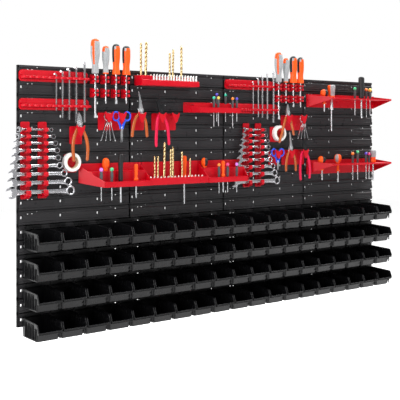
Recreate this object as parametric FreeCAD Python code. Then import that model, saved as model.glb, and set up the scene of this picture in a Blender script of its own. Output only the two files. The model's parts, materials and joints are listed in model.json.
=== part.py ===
import FreeCAD, Part
import math
import os

# Pegboard tool wall: eight slatted plastic panels, clip-on holders, open bins and hand tools.
# Millimetres. The origin is the centre of the panels' back face, X runs right along the wall,
# Y runs into the wall and Z runs up, so everything mounted on the front has negative Y.

os.makedirs("parts", exist_ok=True)

# Panels
PANEL = 390.0
PANEL_COLUMNS = 4
PANEL_ROWS = 2
PANEL_GAP = 0.4
PANEL_DEPTH = 12.0
SLATS = 9
SLAT_PITCH = PANEL / SLATS
CHANNEL_HEIGHT = 5.0
CHANNEL_FLOOR = -4.0

# Holders: thickness of their back plates, how far a tab stays inside a holder's ends, and the
# height near which the low holders reach into a channel
PLATE = 3.5
OVERLAP = 0.5
TAB_INSET = 20.0
NARROW_TAB_INSET = 8.0
TAB_LIFT = 5.0
LOW_TAB_HEIGHT = 86.0
HOLE_OFFSETS = (11.0, 141.0, 271.0)
HOLE_RADIUS = 3.0
FRONT = -PANEL_DEPTH
TOP = PANEL * PANEL_ROWS / 2

# Bins
BIN_ROWS = 4
BINS_PER_ROW = 19
BIN_PITCH = 81.05
BIN_WIDTH = 77.0
BIN_WALL = 1.8
BIN_BACK = -12.6
BIN_ROW_STEP = 2 * SLAT_PITCH
BIN_FIRST_CHANNEL = -2 * SLAT_PITCH
BIN_HOOK_WIDTH = 50.0

# Tool rails with a pierced ledge
RAIL_HEIGHT = 35.0
RAIL_LEDGE_FRONT = -35.0
RAILS = {
    "tool_rail_left_upper": (-778.0, -538.0, 341.6),
    "tool_rail_left_lower": (-778.0, -535.0, 256.4),
    "tool_rail_right_upper": (4.0, 237.0, 341.6),
    "tool_rail_right_lower": (31.0, 261.0, 256.4),
}

# Hex keys: X, low end, high end, radius; the short arm points out and to the left
HEX_Y = -24.0
HEX_ARM = 16.0
HEX_KEYS = (
    (-660.0, 255.0, 368.0, 2.2),
    (-639.0, 233.0, 377.0, 2.7),
    (-616.0, 228.0, 385.0, 3.1),
    (-592.0, 219.0, 393.0, 3.4),
    (-563.0, 220.0, 410.0, 3.8),
    (128.0, 254.0, 371.0, 2.2),
    (152.0, 243.0, 386.0, 2.7),
    (172.0, 241.0, 396.0, 3.1),
    (196.0, 236.0, 406.0, 3.4),
    (226.0, 224.0, 413.0, 3.8),
)

# Screwdrivers: X, blade end, handle top, handle radius, blade radius
DRIVER_Y = -32.0
HANDLE_FOOT = 373.0
SCREWDRIVERS = {
    "left": (
        (-529.5, 234.0, 482.0, 15.0, 3.4),
        (-491.5, 279.0, 462.0, 12.0, 2.8),
        (-453.5, 279.0, 470.0, 13.0, 3.0),
        (-415.5, 280.0, 466.0, 13.5, 3.0),
    ),
    "right": (
        (245.0, 236.0, 483.0, 15.5, 3.4),
        (282.0, 294.5, 464.0, 12.0, 2.8),
        (319.0, 282.0, 473.0, 14.5, 3.0),
        (356.0, 282.0, 471.0, 13.0, 3.0),
    ),
}
CLIP_FEET = (341.6, 299.0)
CLIP_HEIGHT = 29.0
CLIP_WIDTH = 15.0

# Bit holders: left end, right end, foot, top of the block, top of the bits, top of the back,
# first bit column, column spacing; drill bits: X, foot, top, radius
BIT_Y = (-33.0, -52.0)
DRILL_BIT_Y = -42.5
DRILL_BLOCK_Y = -30.0
DRILL_BLOCK_TOP = 374.5
DRILL_BLOCK_WIDTH = 44.0
BIT_SOCKET = 14.0
BIT_RADIUS = 3.4
BIT_COLUMNS = 16
BIT_HOLDERS = {
    "top": (-373.0, -142.0, 341.6, 360.0, 379.0, 374.5, -322.0, 11.5),
    "centre": (-346.0, -115.0, 16.0, 33.0, 44.0, 91.0, -335.0, 14.0),
}
DRILL_BITS = {
    "top": (
        (-358.0, 346.5, 482.0, 3.2),
        (-341.0, 346.5, 488.0, 3.8),
        (-252.5, 346.5, 455.0, 2.8),
        (-240.8, 346.5, 467.0, 2.9),
        (-205.0, 346.5, 481.0, 3.4),
    ),
    "centre": (
        (-313.0, 22.5, 112.0, 2.8),
        (-300.0, 22.5, 111.0, 2.8),
        (-276.0, 22.5, 157.0, 3.8),
        (-249.0, 22.5, 135.0, 3.2),
        (-240.0, 22.5, 141.0, 3.2),
        (-202.0, 22.5, 124.0, 3.0),
        (-169.0, 22.5, 102.0, 2.6),
    ),
}

# Stepped shelves: left end, right end, back top, upper step, lower step, lip foot,
# depth of the upper step, depth of the lower step
STEP_SHELVES = {
    "step_shelf_middle": (-176.0, 28.0, 291.0, 286.0, 273.0, 256.0, -50.0, -75.0),
    "step_shelf_left": (-577.5, -347.0, 91.0, 66.0, 34.0, 17.0, -42.0, -76.0),
    "step_shelf_right": (-114.0, 82.0, 91.0, 66.0, 34.0, 17.0, -42.0, -76.0),
}

# The right-hand stepped shelf is cut away behind its front step, where wrench ends hang
WRENCH_GAP = (-2.0, 90.0, -41.0)

# Long pierced shelves: back foot, back top, top of the plate
LONG_SHELF_X = (405.0, 788.0)
LONG_SHELF_DEPTH = -110.0
LONG_SHELF_THICK = 4.0
LONG_SHELVES = {
    "long_shelf_upper": (284.0, 334.0, 319.0),
    "long_shelf_lower": (27.0, 81.0, 66.0),
}

# Small drivers standing in the shelves: X, Y, tip, foot of handle, top of handle,
# handle radius, shaft radius
PRECISION = {
    "middle": (
        (-82.0, -62.0, 207.0, 273.5, 312.0, 4.6, 1.6),
        (-62.0, -62.0, 209.0, 273.5, 312.0, 4.6, 1.6),
        (1.0, -62.0, 207.0, 273.5, 311.0, 4.6, 1.6),
        (20.0, -62.0, 225.0, 273.5, 311.0, 4.6, 1.6),
        (-48.0, -35.0, 225.0, 286.5, 325.0, 4.6, 1.6),
        (-9.0, -35.0, 225.0, 286.5, 324.0, 4.6, 1.6),
    ),
    "centre": (
        (-524.0, -60.0, -25.0, 34.5, 79.0, 5.6, 2.0),
        (-486.0, -60.0, -25.0, 34.5, 79.0, 5.6, 2.0),
        (-58.0, -60.0, -22.0, 34.5, 82.0, 5.2, 1.8),
        (-20.0, -60.0, -20.0, 34.5, 83.0, 5.6, 1.8),
        (21.0, -60.0, -22.0, 34.5, 82.0, 5.0, 1.8),
    ),
    "right": (
        (626.0, -60.0, 255.0, 319.5, 366.0, 5.6, 2.0),
        (692.0, -60.0, 247.0, 319.5, 364.0, 5.6, 2.0),
        (714.0, -60.0, 255.0, 319.5, 364.0, 6.4, 2.0),
        (613.0, -60.0, 0.0, 66.5, 110.0, 5.6, 2.0),
        (641.0, -60.0, 0.0, 66.5, 116.0, 5.6, 2.0),
        (690.0, -60.0, 0.0, 66.5, 109.0, 5.6, 2.0),
        (708.0, -60.0, 0.0, 66.5, 107.0, 5.6, 2.0),
    ),
}
STUBBY = {
    "centre": (
        (-490.0, -30.0, 40.0, 66.5, 108.0, 11.5, 3.0),
        (-453.0, -59.0, -34.0, 34.5, 121.0, 8.5, 3.6),
        (-396.0, -60.0, -22.0, 34.5, 88.0, 7.0, 2.4),
        (-183.0, -28.0, -55.0, 33.4, 109.0, 8.5, 3.0),
        (-97.0, -29.0, 40.0, 66.5, 101.0, 11.5, 3.0),
        (-40.0, -60.0, -20.0, 34.5, 90.0, 7.0, 2.6),
    ),
    "right": (
        (455.0, -60.0, 266.0, 319.5, 352.0, 15.0, 3.0),
        (494.0, -60.0, 192.0, 319.5, 370.0, 14.0, 3.0),
        (650.0, -72.0, 243.0, 319.5, 407.0, 11.5, 3.8),
        (442.0, -60.0, 5.0, 66.5, 97.0, 15.0, 3.0),
        (529.0, -60.0, -6.0, 66.5, 103.0, 14.0, 3.0),
        (732.0, -60.0, -8.0, 66.5, 116.0, 12.0, 3.0),
    ),
}

# Wrench racks: centre X of each strip; wrenches: centre Z and jaw size, then the X of the
# open end's tip and of the ring's centre
RACK_WIDTH = 30.0
RACK_FOOT = -10.0
RACK_TOP = 221.0
RACKS = {"left": (-758.0, -702.0), "right": (102.0, 159.0)}
WRENCH_Y = -32.0
WRENCH_THICK = 4.0
WRENCHES = (
    (198.0, 8.0),
    (178.0, 9.0),
    (157.5, 10.0),
    (136.0, 11.0),
    (114.0, 12.0),
    (90.0, 13.0),
    (65.5, 14.0),
    (40.0, 17.0),
    (12.0, 19.0),
)
WRENCH_ENDS = {
    "left": (
        (-795.0, -682.0),
        (-799.0, -675.0),
        (-805.0, -668.0),
        (-809.0, -662.0),
        (-812.0, -659.0),
        (-817.0, -653.0),
        (-822.0, -638.0),
        (-826.0, -624.0),
        (-831.0, -616.0),
    ),
    "right": (
        (69.0, 175.0),
        (64.0, 183.0),
        (58.0, 189.0),
        (52.0, 193.0),
        (47.0, 198.0),
        (41.0, 202.0),
        (34.0, 215.0),
        (22.0, 224.0),
        (12.0, 235.0),
    ),
}

# Hanging hooks: X of each hook on one plate, plate left, plate right, plate top
HOOK_DEPTH = -48.0
HOOK_PLATE = 2.0
HOOK_PLATES = {
    "left": (
        ((-588.0,), -610.0, -566.0, 207.0),
        ((-487.0, -438.5), -509.0, -416.0, 250.5),
        ((-364.0,), -386.0, -336.0, 250.5),
        ((-284.0, -230.0), -306.0, -208.0, 250.5),
    ),
    "right": (
        ((286.0, 362.0), 279.5, 388.0, 250.5),
        ((232.5,), 210.0, 254.0, 121.0),
        ((300.0, 370.0), 276.0, 392.0, 121.0),
    ),
}
PEG_PLATES = {
    "left": (-607.0, -629.0, -585.0, 121.0),
    "right": (256.0, 218.0, 278.0, 208.0),
}

# Pliers: pivot, left handle points, right handle points, jaw points
PLIERS_LAYERS = ((-37.7, -34.0), (-42.0, -38.3))
PIVOT_RADIUS = 2.5
PLIERS = {
    "side_cutters_left": (
        (-588.0, 217.0),
        ((-602.0, 186.0), (-611.0, 151.0), (-607.0, 99.0)),
        ((-573.0, 186.0), (-560.0, 148.0), (-563.0, 101.0)),
        ((-583.0, 233.0), (-589.0, 250.0)),
        ((-594.0, 233.0), (-589.0, 250.0)),
        10.0,
    ),
    "long_nose_left": (
        (-364.0, 261.0),
        ((-383.0, 236.0), (-391.0, 205.0), (-396.0, 177.0)),
        ((-352.0, 236.0), (-345.0, 205.0), (-342.0, 177.0)),
        ((-359.0, 284.0), (-357.0, 309.0)),
        ((-367.0, 290.0), (-373.0, 322.0)),
        7.0,
    ),
    "water_pump_pliers": (
        (-284.0, 261.0),
        ((-297.0, 232.0), (-301.0, 188.0), (-302.0, 142.0)),
        ((-272.0, 236.0), (-258.0, 190.0), (-254.0, 148.0)),
        ((-287.0, 276.0), (-266.0, 283.0)),
        ((-302.0, 282.0), (-272.0, 300.0)),
        12.0,
    ),
    "side_cutters_right": (
        (286.0, 260.0),
        ((270.0, 222.0), (259.0, 190.0), (243.0, 150.0)),
        ((298.0, 226.0), (306.0, 204.0), (314.0, 176.0)),
        ((292.0, 274.0), (286.0, 292.0)),
        ((279.0, 274.0), (286.0, 292.0)),
        11.0,
    ),
    "long_nose_right": (
        (300.0, 130.0),
        ((284.0, 96.0), (279.0, 70.0), (278.0, 44.0)),
        ((315.0, 98.0), (322.0, 70.0), (324.0, 42.0)),
        ((305.0, 152.0), (307.0, 190.0)),
        ((298.0, 152.0), (301.0, 193.0)),
        8.0,
    ),
    "combination_pliers": (
        (370.0, 130.0),
        ((355.0, 92.0), (351.0, 50.0), (353.0, 9.0)),
        ((386.0, 92.0), (396.0, 50.0), (396.0, 13.0)),
        ((377.0, 145.0), (371.0, 160.0)),
        ((362.0, 145.0), (369.0, 160.0)),
        12.0,
    ),
}

# Scissors: pivot, left ring, right ring, blade tip
RING_RADIUS = 14.0
RING_HOLE = 10.0
SCISSORS_LAYERS = ((-40.9, -38.4), (-44.1, -41.6))
SCISSORS = {
    "scissors_left": ((-438.5, 204.0), (-458.0, 240.0), (-419.0, 240.0), (-440.0, 156.0)),
    "scissors_right": ((232.5, 82.0), (215.0, 114.0), (250.0, 114.0), (236.0, 49.0)),
}

# Tape rolls on pegs
TAPE_OUTER = 29.0
TAPE_BORE = 18.0
TAPE_Y = (-31.0, -14.5)
TAPES = {"tape_roll_left": (-607.0, 97.0), "tape_roll_right": (256.0, 184.0)}
PEG_RADIUS = 5.0

# Key bunches: ring centre and the foot of each key
KEY_RING = 13.0
KEY_WIRE = 1.3
KEY_Y = -38.0
KEY_BUNCHES = {
    "key_bunch_left": (-487.0, 237.8, (-513.0, -496.0, -479.0, -461.0), 160.0),
    "key_bunch_right": (362.0, 237.8, (336.0, 353.0, 371.0, 388.0), 162.0),
}


def vec(x, y, z):
    return FreeCAD.Vector(x, y, z)


def box(x0, x1, y0, y1, z0, z1):
    return Part.makeBox(x1 - x0, y1 - y0, z1 - z0, vec(x0, y0, z0))


def upright(x, y, z0, z1, radius):
    return Part.makeCylinder(radius, z1 - z0, vec(x, y, z0), vec(0, 0, 1))


def disc(x, z, radius, y0, y1):
    return Part.makeCylinder(radius, y1 - y0, vec(x, y0, z), vec(0, 1, 0))


def side_prism(outline, x0, x1):
    # a Y-Z outline carried along X
    corners = [vec(x0, y, z) for y, z in outline]
    corners.append(corners[0])
    return Part.Face(Part.makePolygon(corners)).extrude(vec(x1 - x0, 0, 0))


def flat_prism(outline, y0, y1):
    # an X-Z outline carried along Y
    corners = [vec(x, y0, z) for x, z in outline]
    corners.append(corners[0])
    return Part.Face(Part.makePolygon(corners)).extrude(vec(0, y1 - y0, 0))


def limb(start, end, width_start, width_end, y0, y1):
    # a flat tapered bar from one X-Z point to another
    dx = end[0] - start[0]
    dz = end[1] - start[1]
    length = math.hypot(dx, dz)
    nx = -dz / length / 2
    nz = dx / length / 2
    outline = [
        (start[0] + nx * width_start, start[1] + nz * width_start),
        (end[0] + nx * width_end, end[1] + nz * width_end),
        (end[0] - nx * width_end, end[1] - nz * width_end),
        (start[0] - nx * width_start, start[1] - nz * width_start),
    ]
    return flat_prism(outline, y0, y1)


def fuse(pieces):
    whole = pieces[0]
    if len(pieces) > 1:
        whole = whole.multiFuse(pieces[1:])
    return whole.removeSplitter()


def save(name, pieces):
    solids = []
    for piece in pieces:
        solids.extend(piece.Solids)
    shape = solids[0]
    if len(solids) > 1:
        shape = Part.makeCompound(solids)
    shape.exportStep("parts/" + name + ".step")


def channel_foot(near):
    # foot of the channel nearest below a height
    number = math.floor((TOP - near) / SLAT_PITCH + 0.5)
    return TOP - number * SLAT_PITCH - 4.5


def channel_tab(x0, x1, near):
    # a flat tab that reaches into the channel nearest to a height
    foot = channel_foot(near)
    return box(x0, x1, -7.0, -6.0, foot + 1.2, foot + 3.7).fuse(
        box(x0, x1, FRONT - 1.0, -6.5, foot + 1.2, foot + 3.7)
    )


def make_panel(column, row):
    x0 = -PANEL_COLUMNS * PANEL / 2 + column * PANEL + PANEL_GAP / 2
    x1 = x0 + PANEL - PANEL_GAP
    top = TOP - row * PANEL
    z1 = top - (PANEL_GAP / 2 if row else 0.0)
    z0 = top - PANEL + (0.0 if row == PANEL_ROWS - 1 else PANEL_GAP / 2)
    panel = box(x0, x1, FRONT, 0.0, z0, z1)
    cuts = []
    for slat in range(SLATS):
        centre = top - (slat + 0.5) * SLAT_PITCH
        for offset in HOLE_OFFSETS:
            x = x0 - PANEL_GAP / 2 + offset
            cuts.append(disc(x, centre, HOLE_RADIUS, FRONT - 1.0, 1.0))
        if slat or row:
            foot = centre + SLAT_PITCH / 2 - 4.5
            cuts.append(box(x0 - 1, x1 + 1, FRONT - 1, CHANNEL_FLOOR, foot, foot + CHANNEL_HEIGHT))
    if row == 0:
        foot = top - PANEL - 4.5
        cuts.append(box(x0 - 1, x1 + 1, FRONT - 1, CHANNEL_FLOOR, foot, foot + CHANNEL_HEIGHT))
    return panel.cut(Part.makeCompound(cuts))


def make_bin(x, channel):
    top = channel - 14.3
    half = BIN_WIDTH / 2
    outer = side_prism(
        [
            (BIN_BACK, top),
            (-116.0, top - 5.0),
            (-127.5, top - 28.0),
            (-127.5, top - 31.0),
            (-113.0, top - 33.0),
            (-103.0, top - 60.0),
            (BIN_BACK, top - 60.0),
        ],
        x - half,
        x + half,
    )
    inner = side_prism(
        [
            (BIN_BACK - BIN_WALL, top + 5.0),
            (-140.0, top + 5.0),
            (-140.0, top - 28.0),
            (-111.0, top - 30.5),
            (-101.0, top - 60.0 + BIN_WALL),
            (BIN_BACK - BIN_WALL, top - 60.0 + BIN_WALL),
        ],
        x - half + BIN_WALL,
        x + half - BIN_WALL,
    )
    tab = BIN_HOOK_WIDTH / 2
    riser = box(x - tab, x + tab, BIN_BACK - BIN_WALL, BIN_BACK, top - 4.0, channel - 0.9)
    hook = box(x - tab, x + tab, BIN_BACK - BIN_WALL, -7.0, channel - 3.4, channel - 0.9)
    return fuse([outer.cut(inner), riser, hook])


def make_rail(x0, x1, foot):
    plate = box(x0, x1, FRONT - PLATE, FRONT, foot, foot + RAIL_HEIGHT)
    ledge = box(x0, x1, RAIL_LEDGE_FRONT, FRONT - PLATE + OVERLAP, foot + 9.0, foot + 17.0)
    tab = channel_tab(x0 + TAB_INSET, x1 - TAB_INSET, foot + TAB_LIFT)
    rail = fuse([plate, ledge, tab])
    holes = []
    for x, low, high, radius in HEX_KEYS:
        if x0 < x < x1:
            holes.append(upright(x, HEX_Y, foot, foot + 20.0, radius + 0.6))
    for x, tip, top, radius, blade in SCREWDRIVERS["left"] + SCREWDRIVERS["right"]:
        if x0 < x < x1 and tip < foot:
            holes.append(upright(x, DRIVER_Y, foot, foot + 20.0, blade + 0.6))
    return rail.cut(Part.makeCompound(holes))


def make_hex_key(x, low, high, radius):
    corner = vec(x, HEX_Y, high - radius)
    rod = upright(x, HEX_Y, low, high - radius, radius)
    arm = Part.makeCylinder(radius, HEX_ARM, corner, vec(-0.75, -0.66, 0))
    return fuse([rod, arm, Part.makeSphere(radius + 0.05, corner)])


def make_clip(x, foot, blade):
    half = CLIP_WIDTH / 2
    plate = box(x - half, x + half, FRONT - PLATE, FRONT, foot, foot + CLIP_HEIGHT)
    gap = blade + 0.5
    reach = DRIVER_Y - 7.0
    pieces = [plate, channel_tab(x - 6.0, x + 6.0, foot + TAB_LIFT)]
    for low in (foot + 3.0, foot + 15.0):
        pieces.append(box(x - gap - 3.5, x - gap, reach, FRONT - 3.0, low, low + 8.0))
        pieces.append(box(x + gap, x + gap + 3.5, reach, FRONT - 3.0, low, low + 8.0))
    return fuse(pieces)


def drill_y(kind, x):
    # the tall block at the left of the top holder carries its drill bits closer to the wall
    if kind == "top" and x < BIT_HOLDERS[kind][0] + DRILL_BLOCK_WIDTH:
        return DRILL_BLOCK_Y
    return DRILL_BIT_Y


def make_bit_holder(kind):
    x0, x1, foot, block_top = BIT_HOLDERS[kind][:4]
    back_top = BIT_HOLDERS[kind][5]
    pieces = [box(x0, x1, FRONT - PLATE, FRONT, foot, back_top)]
    pieces.append(box(x0, x1, -60.0, FRONT - 3.0, foot, block_top))
    if kind == "top":
        block = box(x0, x0 + DRILL_BLOCK_WIDTH, -46.0, FRONT - 3.0, foot, DRILL_BLOCK_TOP)
        pieces.append(block)
    tab_height = foot + TAB_LIFT if kind == "top" else LOW_TAB_HEIGHT
    pieces.append(channel_tab(x0 + TAB_INSET, x1 - TAB_INSET, tab_height))
    holder = fuse(pieces)
    high = max(DRILL_BLOCK_TOP, block_top) + 5.0 if kind == "top" else back_top
    holes = []
    for x, low, top, radius in DRILL_BITS[kind]:
        holes.append(upright(x, drill_y(kind, x), low - 0.3, high, radius + 0.4))
    for x, y in bit_places(kind):
        holes.append(upright(x, y, block_top - BIT_SOCKET, high, BIT_RADIUS + 0.4))
    for x, y, tip, grip_foot, top, radius, shaft in STUBBY["centre"]:
        if kind == "centre" and x0 < x < x1:
            holes.append(upright(x, y, foot - 1.0, high, shaft + 0.8))
    return holder.cut(Part.makeCompound(holes))


def bit_places(kind):
    first, step = BIT_HOLDERS[kind][6:]
    taken = [STUBBY["centre"][3][0]] if kind == "centre" else []
    places = []
    for column in range(BIT_COLUMNS):
        x = first + column * step
        for y in BIT_Y:
            if y == BIT_Y[1] or not [t for t in taken if abs(t - x) < 15.0]:
                places.append((x, y))
    return places


def make_drill(kind, x, low, high, radius):
    return upright(x, drill_y(kind, x), low, high, radius)


def make_bit(kind, x, y):
    block_top, bit_top = BIT_HOLDERS[kind][3:5]
    return upright(x, y, block_top - BIT_SOCKET + 0.5, bit_top, BIT_RADIUS)


def make_step_shelf(name):
    x0, x1, back_top, upper, lower, lip, upper_y, lower_y = STEP_SHELVES[name]
    thick = 3.0
    back_foot = lip + 12.0 if back_top - lip > 50 else lip
    outline = [
        (FRONT, back_foot),
        (FRONT, back_top),
        (FRONT - thick, back_top),
        (FRONT - thick, upper),
        (upper_y - thick, upper),
        (upper_y - thick, lower),
        (lower_y, lower),
        (lower_y, lip),
        (lower_y + thick, lip),
        (lower_y + thick, lower - thick),
        (upper_y, lower - thick),
        (upper_y, upper - thick),
        (FRONT - thick, upper - thick),
        (FRONT - thick, back_foot),
    ]
    sheet = side_prism(outline, x0, x1)
    gusset = [
        (FRONT, back_foot),
        (FRONT, back_top),
        (FRONT - thick, back_top),
        (upper_y - thick, upper + 1.0),
        (lower_y, lower + 1.0),
        (lower_y, lip),
    ]
    pieces = [sheet]
    pieces.append(side_prism(gusset, x0, x0 + thick))
    pieces.append(side_prism(gusset, x1 - thick, x1))
    tab_height = LOW_TAB_HEIGHT if back_top > LOW_TAB_HEIGHT > back_foot else back_foot + TAB_LIFT
    tab_end = WRENCH_GAP[0] - 3.0 if name == "step_shelf_right" else x1 - TAB_INSET
    pieces.append(channel_tab(x0 + TAB_INSET, tab_end, tab_height))
    shelf = fuse(pieces)
    holes = shelf_holes(x0, x1, lip, back_top)
    if name == "step_shelf_right":
        left, right, front = WRENCH_GAP
        holes.append(box(left, right, front, 0.0, lip - 5.0, back_top + 5.0))
    return shelf.cut(Part.makeCompound(holes))


def shelf_holes(x0, x1, low, high):
    # a clearance hole for every driver that stands in this shelf
    holes = []
    for group in (PRECISION, STUBBY):
        for drivers in group.values():
            for x, y, tip, foot, top, radius, shaft in drivers:
                if x0 < x < x1 and low < foot < high:
                    holes.append(upright(x, y, foot - 40.0, foot + 1.0, shaft + 0.8))
    return holes


def make_long_shelf(name):
    foot, top, plate_top = LONG_SHELVES[name]
    x0, x1 = LONG_SHELF_X
    back = box(x0, x1, FRONT - PLATE, FRONT, foot, top)
    plate = box(x0, x1, LONG_SHELF_DEPTH, FRONT - 3.0, plate_top - LONG_SHELF_THICK, plate_top)
    gusset = [
        (FRONT - 3.0, foot),
        (FRONT - 3.0, plate_top),
        (LONG_SHELF_DEPTH, plate_top),
        (LONG_SHELF_DEPTH, plate_top - LONG_SHELF_THICK),
    ]
    left = side_prism(gusset, x0, x0 + 3.0)
    right = side_prism(gusset, x1 - 3.0, x1)
    tab = channel_tab(x0 + TAB_INSET, x1 - TAB_INSET - 8.0, foot + 18.0)
    shelf = fuse([back, plate, left, right, tab])
    return shelf.cut(Part.makeCompound(shelf_holes(x0, x1, foot, top)))


def make_small_driver(x, y, tip, foot, top, radius, shaft):
    grip = upright(x, y, foot, top, radius)
    return fuse([grip, upright(x, y, tip, foot + 2.0, shaft)])


def shank_height(size):
    return 0.55 * size + 2.0


def make_rack(x):
    half = RACK_WIDTH / 2
    pieces = [box(x - half, x + half, FRONT - 4.0, FRONT, RACK_FOOT, RACK_TOP)]
    for z, size in WRENCHES:
        under = z - shank_height(size) / 2 - 0.4
        pieces.append(box(x - 6.0, x + 6.0, -41.0, FRONT - 3.0, under - 4.0, under))
        pieces.append(box(x - 6.0, x + 6.0, -41.0, -37.5, under - 4.0, under + 5.0))
    pieces.append(channel_tab(x - 10, x + 10, 215.0))
    pieces.append(channel_tab(x - 10, x + 10, 42.0))
    return fuse(pieces)


def make_wrench(z, size, tip, ring):
    y0 = WRENCH_Y - WRENCH_THICK / 2
    y1 = WRENCH_Y + WRENCH_THICK / 2
    height = shank_height(size)
    jaw_radius = size * 0.75
    jaw = (tip + jaw_radius, z)
    ring_radius = size * 0.72 + 1.0
    ring_z = z - 1.5
    shank = box(jaw[0], ring, y0, y1, z - height / 2, z + height / 2)
    head = disc(jaw[0], z, jaw_radius, y0, y1)
    eye = disc(ring, ring_z, ring_radius, y0 - 1.0, y1 + 1.0)
    wrench = fuse([shank, head, eye])
    mouth = box(tip - 5.0, tip + jaw_radius * 1.1, y0 - 2, y1 + 2, z - size / 2, z + size / 2)
    wrench = wrench.cut(mouth)
    return wrench.cut(disc(ring, ring_z, size * 0.5, y0 - 3.0, y1 + 3.0))


def make_hook_plate(hooks, x0, x1, top):
    pieces = [box(x0, x1, FRONT - HOOK_PLATE, FRONT, top - 56.0, top)]
    for x in hooks:
        pieces.append(box(x - 2.5, x + 2.5, HOOK_DEPTH, FRONT - 1.0, top - 6.5, top - 1.5))
        shield = [
            (x - 13.0, top + 1.0),
            (x + 13.0, top + 1.0),
            (x + 4.0, top - 30.0),
            (x - 4.0, top - 30.0),
        ]
        pieces.append(flat_prism(shield, HOOK_DEPTH, HOOK_DEPTH + 3.0))
    pieces.append(channel_tab(x0 + NARROW_TAB_INSET, x1 - NARROW_TAB_INSET, top - 35.0))
    return fuse(pieces)


def make_peg_plate(x, x0, x1, top, roll_z):
    plate = box(x0, x1, FRONT - HOOK_PLATE, FRONT, top - 56.0, top)
    peg_z = roll_z + TAPE_BORE - PEG_RADIUS - 0.4
    peg = disc(x, peg_z, PEG_RADIUS, TAPE_Y[0] - 1.5, FRONT - 1.0)
    return fuse([plate, peg, channel_tab(x0 + NARROW_TAB_INSET, x1 - NARROW_TAB_INSET, top - 35.0)])


def make_pliers_half(pivot, handle, jaw, width, layer, pinned):
    y0, y1 = layer
    knuckle = 10.0
    side = 7.0 if handle[0][0] > pivot[0] else -7.0
    shoulder = (pivot[0] + side, pivot[1] - 3.0)
    pieces = [disc(pivot[0], pivot[1], knuckle, y0, y1)]
    pieces.append(limb(shoulder, handle[0], 9.0, 9.0, y0, y1))
    pieces.append(limb(handle[0], handle[1], 9.0, 9.0, y0, y1))
    pieces.append(limb(handle[1], handle[2], 9.0, 8.0, y0, y1))
    pieces.append(disc(handle[1][0], handle[1][1], 4.5, y0, y1))
    pieces.append(disc(handle[0][0], handle[0][1], 4.5, y0, y1))
    pieces.append(limb(pivot, jaw[0], width, width * 0.9, y0, y1))
    pieces.append(limb(jaw[0], jaw[1], width * 0.9, width * 0.45, y0, y1))
    pieces.append(disc(jaw[0][0], jaw[0][1], width * 0.45, y0, y1))
    if pinned:
        pieces.append(disc(pivot[0], pivot[1], PIVOT_RADIUS, y0, PLIERS_LAYERS[0][1]))
        return fuse(pieces)
    hole = disc(pivot[0], pivot[1], PIVOT_RADIUS + 0.4, y0 - 1.0, y1 + 1.0)
    return fuse(pieces).cut(hole)


def make_scissors_half(pivot, ring, tip, layer, pinned):
    y0, y1 = layer
    pieces = [disc(pivot[0], pivot[1], 7.0, y0, y1)]
    inner = (ring[0] + (pivot[0] - ring[0]) * 0.35, ring[1] - RING_RADIUS * 0.8)
    pieces.append(limb(pivot, inner, 9.0, 7.0, y0, y1))
    pieces.append(disc(ring[0], ring[1], RING_RADIUS, y0, y1))
    pieces.append(limb(pivot, tip, 10.0, 3.0, y0, y1))
    half = fuse(pieces).cut(disc(ring[0], ring[1], RING_HOLE, y0 - 1.0, y1 + 1.0))
    if pinned:
        return fuse([half, disc(pivot[0], pivot[1], PIVOT_RADIUS, y0, SCISSORS_LAYERS[0][1])])
    return half.cut(disc(pivot[0], pivot[1], PIVOT_RADIUS + 0.4, y0 - 1.0, y1 + 1.0))


def make_tape(x, z):
    roll = disc(x, z, TAPE_OUTER, TAPE_Y[0], TAPE_Y[1])
    return roll.cut(disc(x, z, TAPE_BORE, TAPE_Y[0] - 1.0, TAPE_Y[1] + 1.0))


def make_key_bunch(x, z, feet, foot_z):
    # flat keys threaded edge-on along the foot of a wire ring
    pieces = [Part.makeTorus(KEY_RING, KEY_WIRE, vec(x, KEY_Y, z), vec(0, 1, 0))]
    for number, foot in enumerate(feet):
        top = x + (number - 1.5) * 3.4
        start = (top, z - KEY_RING + 4.0)
        key = limb(start, (foot, foot_z), 1.6, 1.6, KEY_Y - 4.0, KEY_Y + 4.0)
        eye = Part.makeCylinder(2.6, 20.0, vec(top - 10, KEY_Y, z - KEY_RING + 0.4), vec(1, 0, 0))
        pieces.append(key.cut(eye))
    return pieces


def build_wall():
    for row in range(PANEL_ROWS):
        for column in range(PANEL_COLUMNS):
            save("panel_%d_%d" % (row + 1, column + 1), [make_panel(column, row)])
    for row in range(BIN_ROWS):
        channel = BIN_FIRST_CHANNEL - row * BIN_ROW_STEP
        middle = (BINS_PER_ROW - 1) / 2
        row_bins = [make_bin((n - middle) * BIN_PITCH, channel) for n in range(BINS_PER_ROW)]
        save("bins_row_%d" % (row + 1), row_bins)


def build_holders():
    for name, (x0, x1, foot) in RAILS.items():
        save(name, [make_rail(x0, x1, foot)])
    for side, drivers in SCREWDRIVERS.items():
        clips = [make_clip(d[0], foot, d[4]) for foot in CLIP_FEET for d in drivers]
        save("driver_clips_" + side, clips)
    for kind in BIT_HOLDERS:
        save("bit_holder_" + kind, [make_bit_holder(kind)])
    for name in STEP_SHELVES:
        save(name, [make_step_shelf(name)])
    for name in LONG_SHELVES:
        save(name, [make_long_shelf(name)])
    for side, strips in RACKS.items():
        save("wrench_rack_" + side, [make_rack(x) for x in strips])
    for side, plates in HOOK_PLATES.items():
        pieces = [make_hook_plate(*plate) for plate in plates]
        roll_z = TAPES["tape_roll_" + side][1]
        x, x0, x1, top = PEG_PLATES[side]
        pieces.append(make_peg_plate(x, x0, x1, top, roll_z))
        save("hooks_" + side, pieces)


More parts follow.
